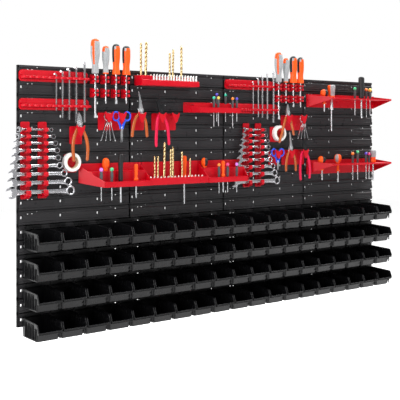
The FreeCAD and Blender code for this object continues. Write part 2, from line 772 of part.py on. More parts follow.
def build_tools():
    save("hex_keys", [make_hex_key(*key) for key in HEX_KEYS])
    for side, drivers in SCREWDRIVERS.items():
        handles = []
        blades = []
        for x, tip, top, radius, blade in drivers:
            handles.append(upright(x, DRIVER_Y, HANDLE_FOOT, top, radius))
            blades.append(upright(x, DRIVER_Y, tip, HANDLE_FOOT, blade))
        save("screwdriver_handles_" + side, handles)
        save("screwdriver_blades_" + side, blades)
    for kind, drills in DRILL_BITS.items():
        save("drill_bits_" + kind, [make_drill(kind, *drill) for drill in drills])
        save("driver_bits_" + kind, [make_bit(kind, x, y) for x, y in bit_places(kind)])
    for place, drivers in PRECISION.items():
        save("precision_drivers_" + place, [make_small_driver(*d) for d in drivers])
    for place, drivers in STUBBY.items():
        save("stubby_drivers_" + place, [make_small_driver(*d) for d in drivers])
    for side, ends in WRENCH_ENDS.items():
        wrenches = []
        for (z, size), (tip, ring) in zip(WRENCHES, ends):
            wrenches.append(make_wrench(z, size, tip, ring))
        save("wrenches_" + side, wrenches)


def build_hanging():
    back, front = PLIERS_LAYERS
    fixed = []
    for name, (pivot, left, right, jaw_right, jaw_left, width) in PLIERS.items():
        fixed.append(make_pliers_half(pivot, left, jaw_right, width, back, False))
        save(name + "_moving_half", [make_pliers_half(pivot, right, jaw_left, width, front, True)])
    save("pliers_fixed_halves", fixed)
    back, front = SCISSORS_LAYERS
    fixed = []
    for name, (pivot, left, right, tip) in SCISSORS.items():
        fixed.append(make_scissors_half(pivot, left, tip, back, False))
        moving_tip = (tip[0] - 2.0, tip[1])
        save(name + "_moving_half", [make_scissors_half(pivot, right, moving_tip, front, True)])
    save("scissors_fixed_halves", fixed)
    for name, (x, z) in TAPES.items():
        save(name, [make_tape(x, z)])
    for name, (x, z, feet, foot_z) in KEY_BUNCHES.items():
        save(name, make_key_bunch(x, z, feet, foot_z))


build_wall()
build_holders()
build_tools()
build_hanging()
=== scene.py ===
import json
import math
from collections import namedtuple

import bmesh
import bpy
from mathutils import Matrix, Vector


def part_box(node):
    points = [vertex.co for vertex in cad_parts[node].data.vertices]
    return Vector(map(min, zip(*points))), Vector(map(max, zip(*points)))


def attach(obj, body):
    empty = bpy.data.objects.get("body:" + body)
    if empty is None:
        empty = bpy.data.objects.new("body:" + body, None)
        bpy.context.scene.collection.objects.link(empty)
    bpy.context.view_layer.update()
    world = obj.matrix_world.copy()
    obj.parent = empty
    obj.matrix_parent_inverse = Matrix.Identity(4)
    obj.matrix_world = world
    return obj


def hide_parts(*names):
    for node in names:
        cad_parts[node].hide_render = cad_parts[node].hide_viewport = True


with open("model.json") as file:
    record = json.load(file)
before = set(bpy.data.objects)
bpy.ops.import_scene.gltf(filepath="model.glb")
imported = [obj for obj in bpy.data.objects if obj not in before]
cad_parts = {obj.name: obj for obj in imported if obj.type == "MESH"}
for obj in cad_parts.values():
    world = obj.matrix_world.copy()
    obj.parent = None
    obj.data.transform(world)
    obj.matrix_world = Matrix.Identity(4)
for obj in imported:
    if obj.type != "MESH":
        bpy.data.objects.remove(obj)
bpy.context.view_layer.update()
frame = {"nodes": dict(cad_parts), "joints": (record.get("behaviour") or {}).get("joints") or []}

# Pegboard tool wall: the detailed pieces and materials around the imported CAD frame.
# Shapes are drawn in millimetres in the wall's own frame and scaled to metres when a piece is made.

MM = 0.001
SHARP = math.radians(38)
PANEL_SIDE = 390.0
WALL_LEFT = -2 * PANEL_SIDE
SLATS = 9
SLAT_PITCH = PANEL_SIDE / SLATS
WALL_FRONT = -12.0
PLATE_FRONT = -15.0
PLATE = 3.0


# ---------------------------------------------------------------- reading the frame


Solid = namedtuple("Solid", "low high points")


def solids(node):
    """The separate solids of a CAD node, in millimetres, from left to right, upwards and backwards."""
    work = bmesh.new()
    work.from_mesh(frame["nodes"][node].data)
    bmesh.ops.remove_doubles(work, verts=work.verts, dist=1e-6)
    seen = set()
    found = []
    for first in work.verts:
        if first in seen:
            continue
        seen.add(first)
        stack = [first]
        island = []
        while stack:
            vert = stack.pop()
            island.append(vert.co / MM)
            for edge in vert.link_edges:
                other = edge.other_vert(vert)
                if other not in seen:
                    seen.add(other)
                    stack.append(other)
        low = Vector([min(p[i] for p in island) for i in range(3)])
        high = Vector([max(p[i] for p in island) for i in range(3)])
        found.append(Solid(low, high, island))
    work.free()
    return sorted(found, key=lambda s: (round(s.low.x + s.high.x), s.low.z, s.low.y))


def node_box(node):
    low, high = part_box(node)
    return low / MM, high / MM


def pivot_of(joint):
    for entry in frame["joints"]:
        if entry["name"] == joint:
            return Vector(entry["pos_m"]) / MM
    raise KeyError(joint)


# ---------------------------------------------------------------- drawing shapes


def smooth_path(points, steps=6):
    """A smooth line through control points."""
    points = [Vector(p) for p in points]
    padded = [points[0] * 2 - points[1]] + points + [points[-1] * 2 - points[-2]]
    path = []
    for n in range(len(points) - 1):
        a, b, c, d = padded[n:n + 4]
        for step in range(steps):
            t = step / steps
            path.append(
                0.5 * (2 * b + (c - a) * t + (2 * a - 5 * b + 4 * c - d) * t * t
                       + (3 * b - a - 3 * c + d) * t ** 3)
            )
    path.append(points[-1])
    return path


def arc(cx, cz, radius, start, end, steps=8):
    """Points on an arc in a plane, from start to end degrees."""
    found = []
    for n in range(steps + 1):
        angle = math.radians(start + (end - start) * n / steps)
        found.append((cx + radius * math.cos(angle), cz + radius * math.sin(angle)))
    return found


def rounded(x0, x1, z0, z1, radius, steps=4):
    """A rectangle with round corners."""
    return (
        arc(x1 - radius, z1 - radius, radius, 0, 90, steps)
        + arc(x0 + radius, z1 - radius, radius, 90, 180, steps)
        + arc(x0 + radius, z0 + radius, radius, 180, 270, steps)
        + arc(x1 - radius, z0 + radius, radius, 270, 360, steps)
    )


def across(direction, hint=(0, 1, 0)):
    """Two unit vectors square to a direction; the second lies nearest to the hint."""
    w = Vector(direction).normalized()
    hint = Vector(hint)
    if abs(w.dot(hint)) > 0.95:
        hint = Vector((1, 0, 0))
    u = hint.cross(w).normalized()
    return u, w.cross(u).normalized()


class Sketch:
    """One piece's mesh while it is drawn. paint is the index of the material that new faces get."""

    PLACE = {
        "x": lambda p, t: (t, p[0], p[1]),
        "y": lambda p, t: (p[0], t, p[1]),
        "z": lambda p, t: (p[0], p[1], t),
    }

    def __init__(self):
        self.mesh = bmesh.new()
        self.paint = 0

    def loft(self, sections, loop=False, soften=0.0, segments=2):
        part = bmesh.new()
        rings = [[part.verts.new(p) for p in section] for section in sections]
        pairs = list(zip(rings, rings[1:]))
        if loop:
            pairs.append((rings[-1], rings[0]))
        for low, high in pairs:
            count = max(len(low), len(high))
            for n in range(count):
                m = (n + 1) % count
                if len(low) == 1:
                    part.faces.new((low[0], high[m], high[n]))
                elif len(high) == 1:
                    part.faces.new((low[n], low[m], high[0]))
                else:
                    part.faces.new((low[n], low[m], high[m], high[n]))
        if not loop:
            for end in (rings[0], rings[-1]):
                if len(end) > 2:
                    part.faces.new(end)
        bmesh.ops.recalc_face_normals(part, faces=part.faces)
        if soften:
            sharp = [e for e in part.edges if e.calc_face_angle(0.0) > SHARP]
            bmesh.ops.bevel(part, geom=sharp, offset=soften, offset_type="OFFSET", profile=0.5,
                            segments=segments, affect="EDGES", clamp_overlap=True)
        for face in part.faces:
            face.material_index = self.paint
        self.take(part)

    def take(self, part):
        spare = bpy.data.meshes.new("spare")
        part.to_mesh(spare)
        part.free()
        self.mesh.from_mesh(spare)
        bpy.data.meshes.remove(spare)

    def prism(self, outline, along, start, end, soften=0.0, segments=2):
        """An outline carried along one axis: x outlines are (y, z), y ones (x, z) and z ones (x, y)."""
        place = self.PLACE[along]
        ends = [[place(p, start) for p in outline], [place(p, end) for p in outline]]
        self.loft(ends, soften=soften, segments=segments)

    def block(self, x0, x1, y0, y1, z0, z1, soften=0.0):
        self.prism([(x0, y0), (x1, y0), (x1, y1), (x0, y1)], "z", z0, z1, soften)

    def lathe(self, origin, profile, axis=(0, 0, 1), sides=24, shape=None, loop=False):
        """A turned form: the profile lists (distance along the axis, radius)."""
        origin = Vector(origin)
        u, v = across(axis)
        w = Vector(axis).normalized()
        sections = []
        for along, radius in profile:
            centre = origin + w * along
            if radius <= 0:
                sections.append([centre])
                continue
            section = []
            for n in range(sides):
                angle = 2 * math.pi * n / sides
                reach = radius * (shape(angle, along) if shape else 1.0)
                section.append(centre + (u * math.cos(angle) + v * math.sin(angle)) * reach)
            sections.append(section)
        self.loft(sections, loop=loop)

    def tube(self, path, radius, sides=12, flat=1.0, hint=(0, 1, 0), loop=False):
        """A bar swept along a path; radius is one number or one for each point."""
        path = [Vector(p) for p in path]
        count = len(path)
        radii = radius if isinstance(radius, (list, tuple)) else [radius] * count
        sections = []
        for n, point in enumerate(path):
            before = path[n - 1] if n or loop else point
            after = path[(n + 1) % count] if n < count - 1 or loop else point
            u, v = across(after - before, hint)
            section = []
            for k in range(sides):
                angle = 2 * math.pi * k / sides
                wide = u * math.cos(angle) * radii[n]
                section.append(point + wide + v * math.sin(angle) * radii[n] * flat)
            sections.append(section)
        self.loft(sections, loop=loop)

    def stamp(self, other, offset=(0, 0, 0), mirror=False):
        """A copy of another sketch, moved, and mirrored left to right if asked."""
        spare = bpy.data.meshes.new("spare")
        other.mesh.to_mesh(spare)
        start = len(self.mesh.verts)
        first_face = len(self.mesh.faces)
        self.mesh.from_mesh(spare)
        bpy.data.meshes.remove(spare)
        self.mesh.verts.ensure_lookup_table()
        self.mesh.faces.ensure_lookup_table()
        shift = Vector(offset)
        for vert in self.mesh.verts[start:]:
            if mirror:
                vert.co.x = -vert.co.x
            vert.co += shift
        if mirror:
            bmesh.ops.reverse_faces(self.mesh, faces=self.mesh.faces[first_face:])

    def carve(self, cutter):
        """Everything drawn so far, less another sketch."""
        body, tool = [loose_object(s) for s in (self, cutter)]
        modifier = body.modifiers.new("cut", "BOOLEAN")
        modifier.object = tool
        modifier.operation = "DIFFERENCE"
        modifier.solver = "MANIFOLD"
        result = bpy.data.meshes.new_from_object(
            body.evaluated_get(bpy.context.evaluated_depsgraph_get())
        )
        self.mesh = bmesh.new()
        self.mesh.from_mesh(result)
        for thing in (body, tool):
            data = thing.data
            bpy.data.objects.remove(thing)
            bpy.data.meshes.remove(data)
        bpy.data.meshes.remove(result)

    def bend(self, change):
        """Moves each point by a rule."""
        for vert in self.mesh.verts:
            vert.co = Vector(change(vert.co))

    def paint_faces(self, rule):
        """Gives each face the material index that a rule finds from its centre and normal."""
        self.mesh.normal_update()
        for face in self.mesh.faces:
            face.material_index = rule(face.calc_center_median(), face.normal)


def loose_object(sketch):
    data = bpy.data.meshes.new("loose")
    sketch.mesh.to_mesh(data)
    thing = bpy.data.objects.new("loose", data)
    bpy.context.scene.collection.objects.link(thing)
    return thing


def make_piece(sketch, name, body, nodes, paints):
    """Turns a sketch into a piece that stands for its CAD nodes and moves with its body."""
    bmesh.ops.recalc_face_normals(sketch.mesh, faces=sketch.mesh.faces)
    bmesh.ops.scale(sketch.mesh, vec=(MM, MM, MM), verts=sketch.mesh.verts)
    for face in sketch.mesh.faces:
        face.smooth = True
    data = bpy.data.meshes.new(name)
    sketch.mesh.to_mesh(data)
    sketch.mesh.free()
    for paint in paints:
        data.materials.append(paint)
    data.set_sharp_from_angle(angle=SHARP)
    piece = bpy.data.objects.new(name, data)
    bpy.context.scene.collection.objects.link(piece)
    even = piece.modifiers.new("even_normals", "WEIGHTED_NORMAL")
    even.keep_sharp = True
    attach(piece, body)
    if nodes:
        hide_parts(*nodes)
    return piece


# ---------------------------------------------------------------- materials


def linear(code):
    """A colour written as six hex digits, as Blender's linear red, green, blue."""
    values = [int(code[n:n + 2], 16) / 255 for n in (0, 2, 4)]
    return [v / 12.92 if v <= 0.04045 else ((v + 0.055) / 1.055) ** 2.4 for v in values] + [1.0]


RELIEF_DEPTH = 0.0002
CLOUD_SCALE = 22.0


def noise(tree, vector, scale, detail):
    """The value of a noise texture at a real scale."""
    node = tree.nodes.new("ShaderNodeTexNoise")
    node.inputs["Scale"].default_value = scale
    node.inputs["Detail"].default_value = detail
    tree.links.new(vector, node.inputs["Vector"])
    return node.outputs["Fac"]


def surface(name, code, rough=(0.35, 0.5), metal=0.0, grain=900.0, bump=0.05, vary=0.12,
            stretch=(1, 1, 1), specular=0.5, coat=0.0):
    """A material whose colour, roughness and relief vary with noise at real scale."""
    material = bpy.data.materials.new(name)
    material.use_nodes = True
    tree = material.node_tree
    tree.nodes.clear()
    add = tree.nodes.new
    link = tree.links.new
    output = add("ShaderNodeOutputMaterial")
    shader = add("ShaderNodeBsdfPrincipled")
    link(shader.outputs["BSDF"], output.inputs["Surface"])
    shader.inputs["Metallic"].default_value = metal
    shader.inputs["Specular IOR Level"].default_value = specular
    shader.inputs["Coat Weight"].default_value = coat
    shader.inputs["Coat Roughness"].default_value = 0.2
    place = add("ShaderNodeTexCoord")
    scaling = add("ShaderNodeMapping")
    scaling.inputs["Scale"].default_value = stretch
    link(place.outputs["Object"], scaling.inputs["Vector"])

    cloud = noise(tree, scaling.outputs["Vector"], CLOUD_SCALE, 5.0)
    fine = noise(tree, scaling.outputs["Vector"], grain, 3.0)

    colour = linear(code)
    tint = add("ShaderNodeMix")
    tint.data_type = "RGBA"
    tint.inputs[6].default_value = [c * (1 - vary) for c in colour[:3]] + [1.0]
    tint.inputs[7].default_value = [min(1.0, c * (1 + vary)) for c in colour[:3]] + [1.0]
    link(cloud, tint.inputs[0])
    link(tint.outputs[2], shader.inputs["Base Color"])

    shine = add("ShaderNodeMapRange")
    shine.inputs["From Min"].default_value = 0.3
    shine.inputs["From Max"].default_value = 0.7
    shine.inputs["To Min"].default_value = rough[0]
    shine.inputs["To Max"].default_value = rough[1]
    link(cloud, shine.inputs["Value"])
    link(shine.outputs["Result"], shader.inputs["Roughness"])

    relief = add("ShaderNodeBump")
    relief.inputs["Strength"].default_value = bump
    relief.inputs["Distance"].default_value = RELIEF_DEPTH
    link(fine, relief.inputs["Height"])
    link(relief.outputs["Normal"], shader.inputs["Normal"])
    return material


PANEL = surface("panel_plastic_grain", "302f31", rough=(0.26, 0.36), grain=1400, bump=0.25, vary=0.1,
                specular=0.27)
BIN = surface("bin_plastic_grain", "0c0c0e", rough=(0.24, 0.36), grain=1600, bump=0.15, vary=0.15,
              specular=0.3)
RED = surface("red_plastic_gloss", "c2061c", rough=(0.26, 0.4), grain=1200, bump=0.15, vary=0.1,
              specular=0.3)
STEEL = surface("polished_steel", "dcdde0", rough=(0.22, 0.32), metal=1.0, grain=700, bump=0.015,
                vary=0.05, stretch=(1, 1, 0.2))
WRENCH_STEEL = surface("chrome_vanadium", "c6c6ca", rough=(0.2, 0.3), metal=1.0, grain=600,
                       bump=0.02, vary=0.05, stretch=(0.2, 1, 1))
BIT_STEEL = surface("plated_bit_steel", "f6f6f4", rough=(0.3, 0.42), metal=1.0, grain=800, bump=0.02,
                    vary=0.04)
DARK_STEEL = surface("blackened_steel", "2a2a2c", rough=(0.25, 0.36), metal=0.6, grain=900, vary=0.2)
GOLD = surface("titanium_nitride", "f0d6a0", rough=(0.2, 0.3), metal=1.0, grain=900, vary=0.08)
FLUTE = surface("flute_shadow", "7a5426", rough=(0.3, 0.42), metal=1.0, grain=900, vary=0.2)
ORANGE = surface("orange_handle", "fa5a16", rough=(0.3, 0.42), grain=1100, bump=0.1, vary=0.06,
                 specular=0.3)
GREY = surface("grey_grip", "9fa1a3", rough=(0.45, 0.6), grain=1300, bump=0.3, vary=0.08)
BLACK = surface("black_grip", "161618", rough=(0.36, 0.5), grain=1300, bump=0.3, vary=0.2)
DARK = surface("dark_grey_barrel", "4a4b4e", rough=(0.4, 0.55), grain=1300, bump=0.2, vary=0.12)
COPPER = surface("copper_grip", "b4561e", rough=(0.14, 0.26), grain=800, bump=0.08, vary=0.25,
                 coat=0.5)
CRIMSON = surface("crimson_grip", "e01648", rough=(0.24, 0.38), grain=900, bump=0.1, vary=0.1,
                  specular=0.35)
BLUE = surface("blue_handle", "2453d8", rough=(0.2, 0.32), grain=900, bump=0.06, vary=0.12,
               specular=0.35)
TAPE = surface("white_tape", "f2f1ee", rough=(0.55, 0.7), grain=260, bump=0.3, vary=0.03,
               stretch=(1, 14, 1))
CORE = surface("card_core", "c9b79a", rough=(0.7, 0.85), grain=500, bump=0.4, vary=0.15)
CAP_COLOURS = {
    "teal": "2fbf9f", "yellow": "e9cf5a", "violet": "5a4fc8", "amber": "f08a3c", "green": "4ec98a",
    "lilac": "d77be0", "pink": "e0457f",
}
CAPS = {name: surface("cap_" + name, code, rough=(0.15, 0.25), grain=900, bump=0.03, vary=0.05)
        for name, code in CAP_COLOURS.items()}


# ---------------------------------------------------------------- panels

HOLES = (11.0, 141.0, 271.0)
SLOTS = ((33.0, 9.0), (47.0, 9.0), (63.0, 16.0), (319.0, 16.0), (338.0, 10.0))
SKIN = 2.0
END_WALL = 2.4
RIB_PLACES = (76.0, 206.0, 327.0)
RIB = 1.8
EDGE_GAP = 0.2
SLAT_GAP = 4.5
LIP = 5.0
LIP_FRONT = -4.0
HOLE_HALF = 2.6
PAD_START = 5.5
PAD_END = 107.0


def slat_face(low, high):
    """The front line of one slat from top to bottom, as (y, z) about its hole line."""
    return [
        (-12.0, high),
        (-12.0, 14.6),
        (-9.4, 13.2),
        (-9.4, 7.6),
        (-11.2, 5.8),
        (-11.2, -15.2),
        (-10.6, -15.8),
        (-10.6, -16.8),
        (-12.0, -17.8),
        (-12.0, low),
    ]


def pad_outline():
    """The side outline of the raised field between two holes, with two fine grooves."""
    return [
        (-9.3, 8.7),
        (-12.0, 6.0),
        (-12.0, -3.2),
        (-11.6, -3.6),
        (-11.6, -4.4),
        (-12.0, -4.8),
        (-12.0, -9.2),
        (-11.6, -9.6),
        (-11.6, -10.4),
        (-12.0, -10.8),
        (-12.0, -13.6),
        (-11.0, -14.4),
    ]


def slat_centre(slat):
    return -(slat + 0.5) * SLAT_PITCH


def slat_outlines(centre, first):
    """The side outlines of one slat: its open skin, its closed end and the rib behind it."""
    high = SLAT_PITCH / 2 if first else SLAT_PITCH / 2 - SLAT_GAP
    low = -SLAT_PITCH / 2 + 0.5
    front = slat_face(low, high)
    skin = front + [(-2.0, low), (-2.0, low + SKIN), (-7.4, low + SKIN), (-7.4, high - SKIN),
                    (-2.0, high - SKIN)]
    end = front + [(0.0, low), (0.0, high if first else high + LIP)]
    if first:
        skin.append((-2.0, high))
    else:
        skin += [(-2.0, high + LIP), (LIP_FRONT, high + LIP), (LIP_FRONT, high)]
        end += [(LIP_FRONT, high + LIP), (LIP_FRONT, high)]
    rib = [(-7.8, low + 1), (-7.8, high - 1), (-0.5, high - 1), (-0.5, low + 1)]
    return [[(y, z + centre) for y, z in outline] for outline in (skin, end, rib)]


def draw_openings(holes, centre):
    """Cutters for one slat's upright holes and its small flat slots."""
    for x in HOLES:
        outline = rounded(x - HOLE_HALF, x + HOLE_HALF, centre - 4.2, centre + 4.2, 2.5)
        holes.prism(outline, "y", -14.0, -5.0)
    for x, up in SLOTS:
        outline = rounded(x - HOLE_HALF, x + HOLE_HALF, centre + up - 1.3, centre + up + 1.3, 1.2, 2)
        holes.prism(outline, "y", -14.0, -5.0)


def draw_pads(skin, centre):
    """One slat's raised fields and the rims round its holes."""
    outline = [(y, z + centre) for y, z in pad_outline()]
    circle = arc(0, 0, 1, 0, 360, 20)[:-1]
    for x in HOLES:
        skin.prism(outline, "x", x + PAD_START, x + PAD_END)
        rim = [[(x + a * reach * 0.82, y, centre + b * reach) for a, b in circle]
               for reach, y in ((4.6, -11.2), (4.6, -11.8), (5.8, -11.8), (6.2, -11.2))]
        skin.loft(rim, loop=True)


def draw_panel(top_row):
    """One panel, from its top left corner."""
    skin = Sketch()
    ribs = Sketch()
    holes = Sketch()
    right = PANEL_SIDE - EDGE_GAP
    for slat in range(SLATS):
        centre = slat_centre(slat)
        outline, end, rib = slat_outlines(centre, top_row and slat == 0)
        skin.prism(outline, "x", EDGE_GAP, right)
        for place in (EDGE_GAP, right - END_WALL):
            ribs.prism(end, "x", place, place + END_WALL)
        for place in RIB_PLACES:
            ribs.prism(rib, "x", place, place + RIB)
        draw_openings(holes, centre)
    skin.carve(holes)
    skin.stamp(ribs)
    if not top_row:
        edge = [(-10.5, -0.3), (-11.6, -0.3), (-14.4, -3.1), (-14.4, -4.2), (-11.0, -6.4)]
        skin.prism(edge, "x", EDGE_GAP, right)
    for slat in range(SLATS):
        draw_pads(skin, slat_centre(slat))
    return skin


def draw_side_tabs(sketch, top):
    """The joining tabs that stand out from the wall's right edge, one on each slat."""
    for slat in range(SLATS):
        foot = top - (slat + 1) * SLAT_PITCH + 1.0
        outline = rounded(-WALL_LEFT - 1.0, -WALL_LEFT + 4.5, foot, foot + 12.0, 2.0)
        sketch.prism(outline, "y", -9.5, -6.5, soften=0.5)


def make_panels():
    upper = draw_panel(True)
    lower = draw_panel(False)
    for row in (1, 2):
        for column in (1, 2, 3, 4):
            node = "panel_%d_%d" % (row, column)
            sketch = Sketch()
            corner = (WALL_LEFT + PANEL_SIDE * (column - 1), 0, PANEL_SIDE * (2 - row))
            sketch.stamp(upper if row == 1 else lower, corner)
            if column == 4:
                draw_side_tabs(sketch, corner[2])
            make_piece(sketch, "slatted_" + node, "wall", [node], [PANEL])


# ---------------------------------------------------------------- bins

BIN_HALF = 38.5
BIN_DEEP = 57.5
BIN_RIBS = (-41.0, -63.0, -85.0, -107.0)
BIN_WALL = 1.8
BIN_TAPER = 0.13
TAPER_TOP = -31.0
TAPER_HEIGHT = 27.0
HANGER_TOP = 13.4


def draw_bin():
    """One open-fronted bin about the middle of its back top edge."""
    shell = Sketch()
    outer = [(-12.6, 0.0), (-114.0, -5.0), (-118.0, -8.0), (-125.5, -28.0), (-125.5, -33.0),
             (-113.0, -34.0), (-104.0, -BIN_DEEP), (-12.6, -BIN_DEEP)]
    shell.prism(outer, "x", -BIN_HALF, BIN_HALF, soften=1.0)
    hollow = Sketch()
    inner = [(-14.4, 12.0), (-140.0, 12.0), (-140.0, -28.5), (-111.0, -30.0),
             (-102.0, BIN_WALL - BIN_DEEP), (-14.4, BIN_WALL - BIN_DEEP)]
    hollow.prism(inner, "x", BIN_WALL - BIN_HALF, BIN_HALF - BIN_WALL)
    shell.carve(hollow)
    for side in (-1, 1):
        x = side * (BIN_HALF - BIN_WALL / 2)
        rim = [(x, -13.5, 0.3), (x, -60.0, -2.0), (x, -112.0, -4.6), (x, -117.0, -8.0),
               (x, -121.5, -18.0), (x, -125.3, -28.6)]
        radii = [1.3] * 6 + [1.4, 1.6, 1.8, 2.0] + [2.1] * 5 + [2.0]
        shell.tube(smooth_path(rim, 3), radii, sides=10)
    shell.tube([(-37.5, -125.2, -28.6), (37.5, -125.2, -28.6)], 1.5, sides=10)
    shell.tube([(-37.5, -13.6, 0.2), (37.5, -13.6, 0.2)], 1.1, sides=8)
    shell.block(-37.8, 37.8, -127.0, -113.0, -34.2, -32.2, 0.6)

    def taper(point):
        share = min(1.0, max(0.0, (TAPER_TOP - point.z) / TAPER_HEIGHT))
        return (point.x * (1 - BIN_TAPER * share), point.y, point.z)

    shell.bend(taper)
    for side in (-1, 1):
        near, far = sorted((side * (BIN_HALF - 4.4), side * (BIN_HALF + 1.2)))
        for y in BIN_RIBS:
            top = -17.0 if y == BIN_RIBS[-1] else -7.0
            for edge in (-4.6, 4.6):
                shell.block(near, far, y + edge - 0.8, y + edge + 0.8, -53.0, top, 0.5)
    shell.block(-25.0, 25.0, -14.4, -12.6, -4.0, HANGER_TOP, 0.4)
    shell.block(-25.0, 25.0, -14.4, -7.0, HANGER_TOP - 2.5, HANGER_TOP, 0.4)
    return shell


def make_bins():
    model = draw_bin()
    for row in (1, 2, 3, 4):
        node = "bins_row_%d" % row
        sketch = Sketch()
        for solid in solids(node):
            middle = (solid.low.x + solid.high.x) / 2
            sketch.stamp(model, (middle, 0, solid.high.z - HANGER_TOP))
        make_piece(sketch, "ribbed_" + node, node, [node], [BIN])


# ---------------------------------------------------------------- rails, clips and bit holders


BOSS = 9.0
BOSS_PITCH = 20.0
RAIL_END = 4.0


def draw_ledge(low, high):
    """The ledge of a tool rail: a row of bosses, each pierced for one tool."""
    row = high.x - low.x - 12.0
    count = round(row / BOSS_PITCH)
    pitch = row / count
    foot = low.z + 9.0
    outline = []
    holes = Sketch()
    for n in range(count):
        x = low.x + RAIL_END + (n + 0.5) * pitch
        outline += arc(x, low.y + BOSS, BOSS, 205, 335, 8)
        holes.lathe((x, low.y + BOSS + 0.5, foot - 1.0), [(0, 4.6), (12, 4.6)], sides=16)
    outline += [(high.x - 1.0, low.y + BOSS + 4.0), (high.x - 9.0, -14.0), (low.x + RAIL_END, -14.0)]
    ledge = Sketch()
    ledge.prism(outline, "z", foot, low.z + 17.0, soften=1.8, segments=3)
    ledge.carve(holes)
    return ledge


def make_rails():
    for place in ("left_upper", "left_lower", "right_upper", "right_lower"):
        node = "tool_rail_" + place
        low, high = node_box(node)
        sketch = Sketch()
        plate = rounded(low.x, high.x - 8.0, low.z, high.z, 11.0, 6)
        sketch.prism(plate, "y", -15.5, WALL_FRONT, soften=0.9)
        ridge = rounded(low.x + 2.0, high.x - 10.0, low.z + 17.0, high.z - 2.0, 8.0, 6)
        sketch.prism(ridge, "y", -20.0, PLATE_FRONT, soften=2.4, segments=3)
        sketch.stamp(draw_ledge(low, high))
        lower = rounded(low.x + 4.0, high.x - 12.0, low.z + 2.0, low.z + 8.0, 2.5, 4)
        sketch.prism(lower, "y", -19.0, PLATE_FRONT, soften=0.8)
        make_piece(sketch, node + "_moulding", "wall", [node], [RED])


def make_clips():
    for side in ("left", "right"):
        node = "driver_clips_" + side
        sketch = Sketch()
        for solid in solids(node):
            middle = (solid.low.x + solid.high.x) / 2
            sketch.prism(rounded(middle - 8.5, middle + 8.5, solid.low.z, solid.high.z, 2.5), "y",
                         -15.0, WALL_FRONT, soften=0.7)
            for foot in (solid.low.z + 3.0, solid.low.z + 15.5):
                for hand in (-1, 1):
                    line = [(4.0, -14.5), (6.6, -22.0), (7.4, -29.0), (5.0, -35.5), (7.8, -40.5)]
                    path = smooth_path([(middle + hand * x, y, foot + 4.5) for x, y in line], 5)
                    sketch.tube(path, 4.4, sides=12, flat=0.3, hint=(hand, 0.01, 0))
        make_piece(sketch, node + "_moulding", "wall", [node], [RED])


def draw_holder(low, high, lip, bevel, top):
    """A back plate with the block for the bits before it; the block's front edge is bevelled."""
    sketch = Sketch()
    outline = [(low.y, low.z), (low.y, low.z + lip), (low.y + bevel, low.z + top),
               (PLATE_FRONT, low.z + top), (PLATE_FRONT, high.z), (WALL_FRONT, high.z),
               (WALL_FRONT, low.z)]
    sketch.prism(outline, "x", low.x, high.x, soften=1.0)
    return sketch


def make_bit_holders():
    low, high = node_box("bit_holder_top")
    sketch = draw_holder(low, high, 15.0, 2.5, 18.4)
    sketch.block(low.x - 0.6, low.x + 44.0, low.y + 6.0, -13.0, low.z - 0.6, high.z - 0.6, 1.2)
    make_piece(sketch, "bit_holder_top_moulding", "wall", ["bit_holder_top"], [RED])

    low, high = node_box("bit_holder_centre")
    sketch = draw_holder(low, high, 17.0, 3.0, 20.0)
    lip = [(-74.0, low.z + 2.0), (-74.0, low.z + 24.0), (-71.0, low.z + 24.0), (-58.0, low.z + 18.0),
           (-58.0, low.z + 2.0)]
    sketch.prism(lip, "x", low.x - 2.0, high.x + 2.0, soften=0.8)
    make_piece(sketch, "bit_holder_centre_moulding", "wall", ["bit_holder_centre"], [RED])


def draw_bit(sketch, x, y, low, top, slim):
    """A hexagonal driver bit standing with its tip up."""
    height = top - low
    profile = [(0, 3.3), (0.5, 3.6), (height - 12, 3.6), (height - 10.5, 2.4), (height - 8.5, 2.4),
               (height - 7.5, 3.2), (height - 2.0, 2.6 if slim else 3.0), (height, 0.9)]
    sketch.lathe((x, y, low), profile, sides=6)


def make_bits():
    for place in ("top", "centre"):
        node = "driver_bits_" + place
        sketch = Sketch()
        for number, solid in enumerate(solids(node)):
            centre = (solid.low + solid.high) / 2
            draw_bit(sketch, centre.x, centre.y, solid.low.z, solid.high.z, number % 2)
        make_piece(sketch, node + "_set", "bits_" + place, [node], [BIT_STEEL])


def flute_depth(along, shank, angle, radius):
    """How deep the twist groove runs at one height and angle of a drill, from 0 to 1."""
    twist = (along - shank) / (radius * 6.5) * 2 * math.pi
    start = max(0.0, min(1.0, (along - shank) / 5.0))
    return start * max(0.0, math.cos(2 * (angle - twist))) ** 1.5


def draw_drill(sketch, x, y, low, high, radius, lean):
    """A twist drill with its point up: two flutes wind round it above a plain shank."""
    length = high - low
    shank = length * 0.3
    sides = 20
    steps = 54
    sections = []
    for n in range(steps + 1):
        along = length * n / steps
        point = max(0.0, min(1.0, (length - along) / (radius * 1.1)))
        section = []
        for k in range(sides):
            angle = 2 * math.pi * k / sides
            reach = radius * (1 - 0.42 * flute_depth(along, shank, angle, radius)) * max(0.06, point)
            across_x = x + lean * along + reach * math.cos(angle)
            section.append((across_x, y + reach * math.sin(angle), low + along))
        sections.append(section)
    drill = Sketch()
    drill.loft(sections)

    def in_flute(centre, normal):
        along = centre.z - low
        angle = math.atan2(centre.y - y, centre.x - x - lean * along)
        return 1 if flute_depth(along, shank, angle, radius) > 0.35 else 0

    drill.paint_faces(in_flute)
    sketch.stamp(drill)


DRILL_LEANS = {"top": (0.0, 0.03, 0.0, 0.02, 0.0), "centre": (0.0, 0.0, 0.02, 0.0, 0.0, -0.01, 0.0)}


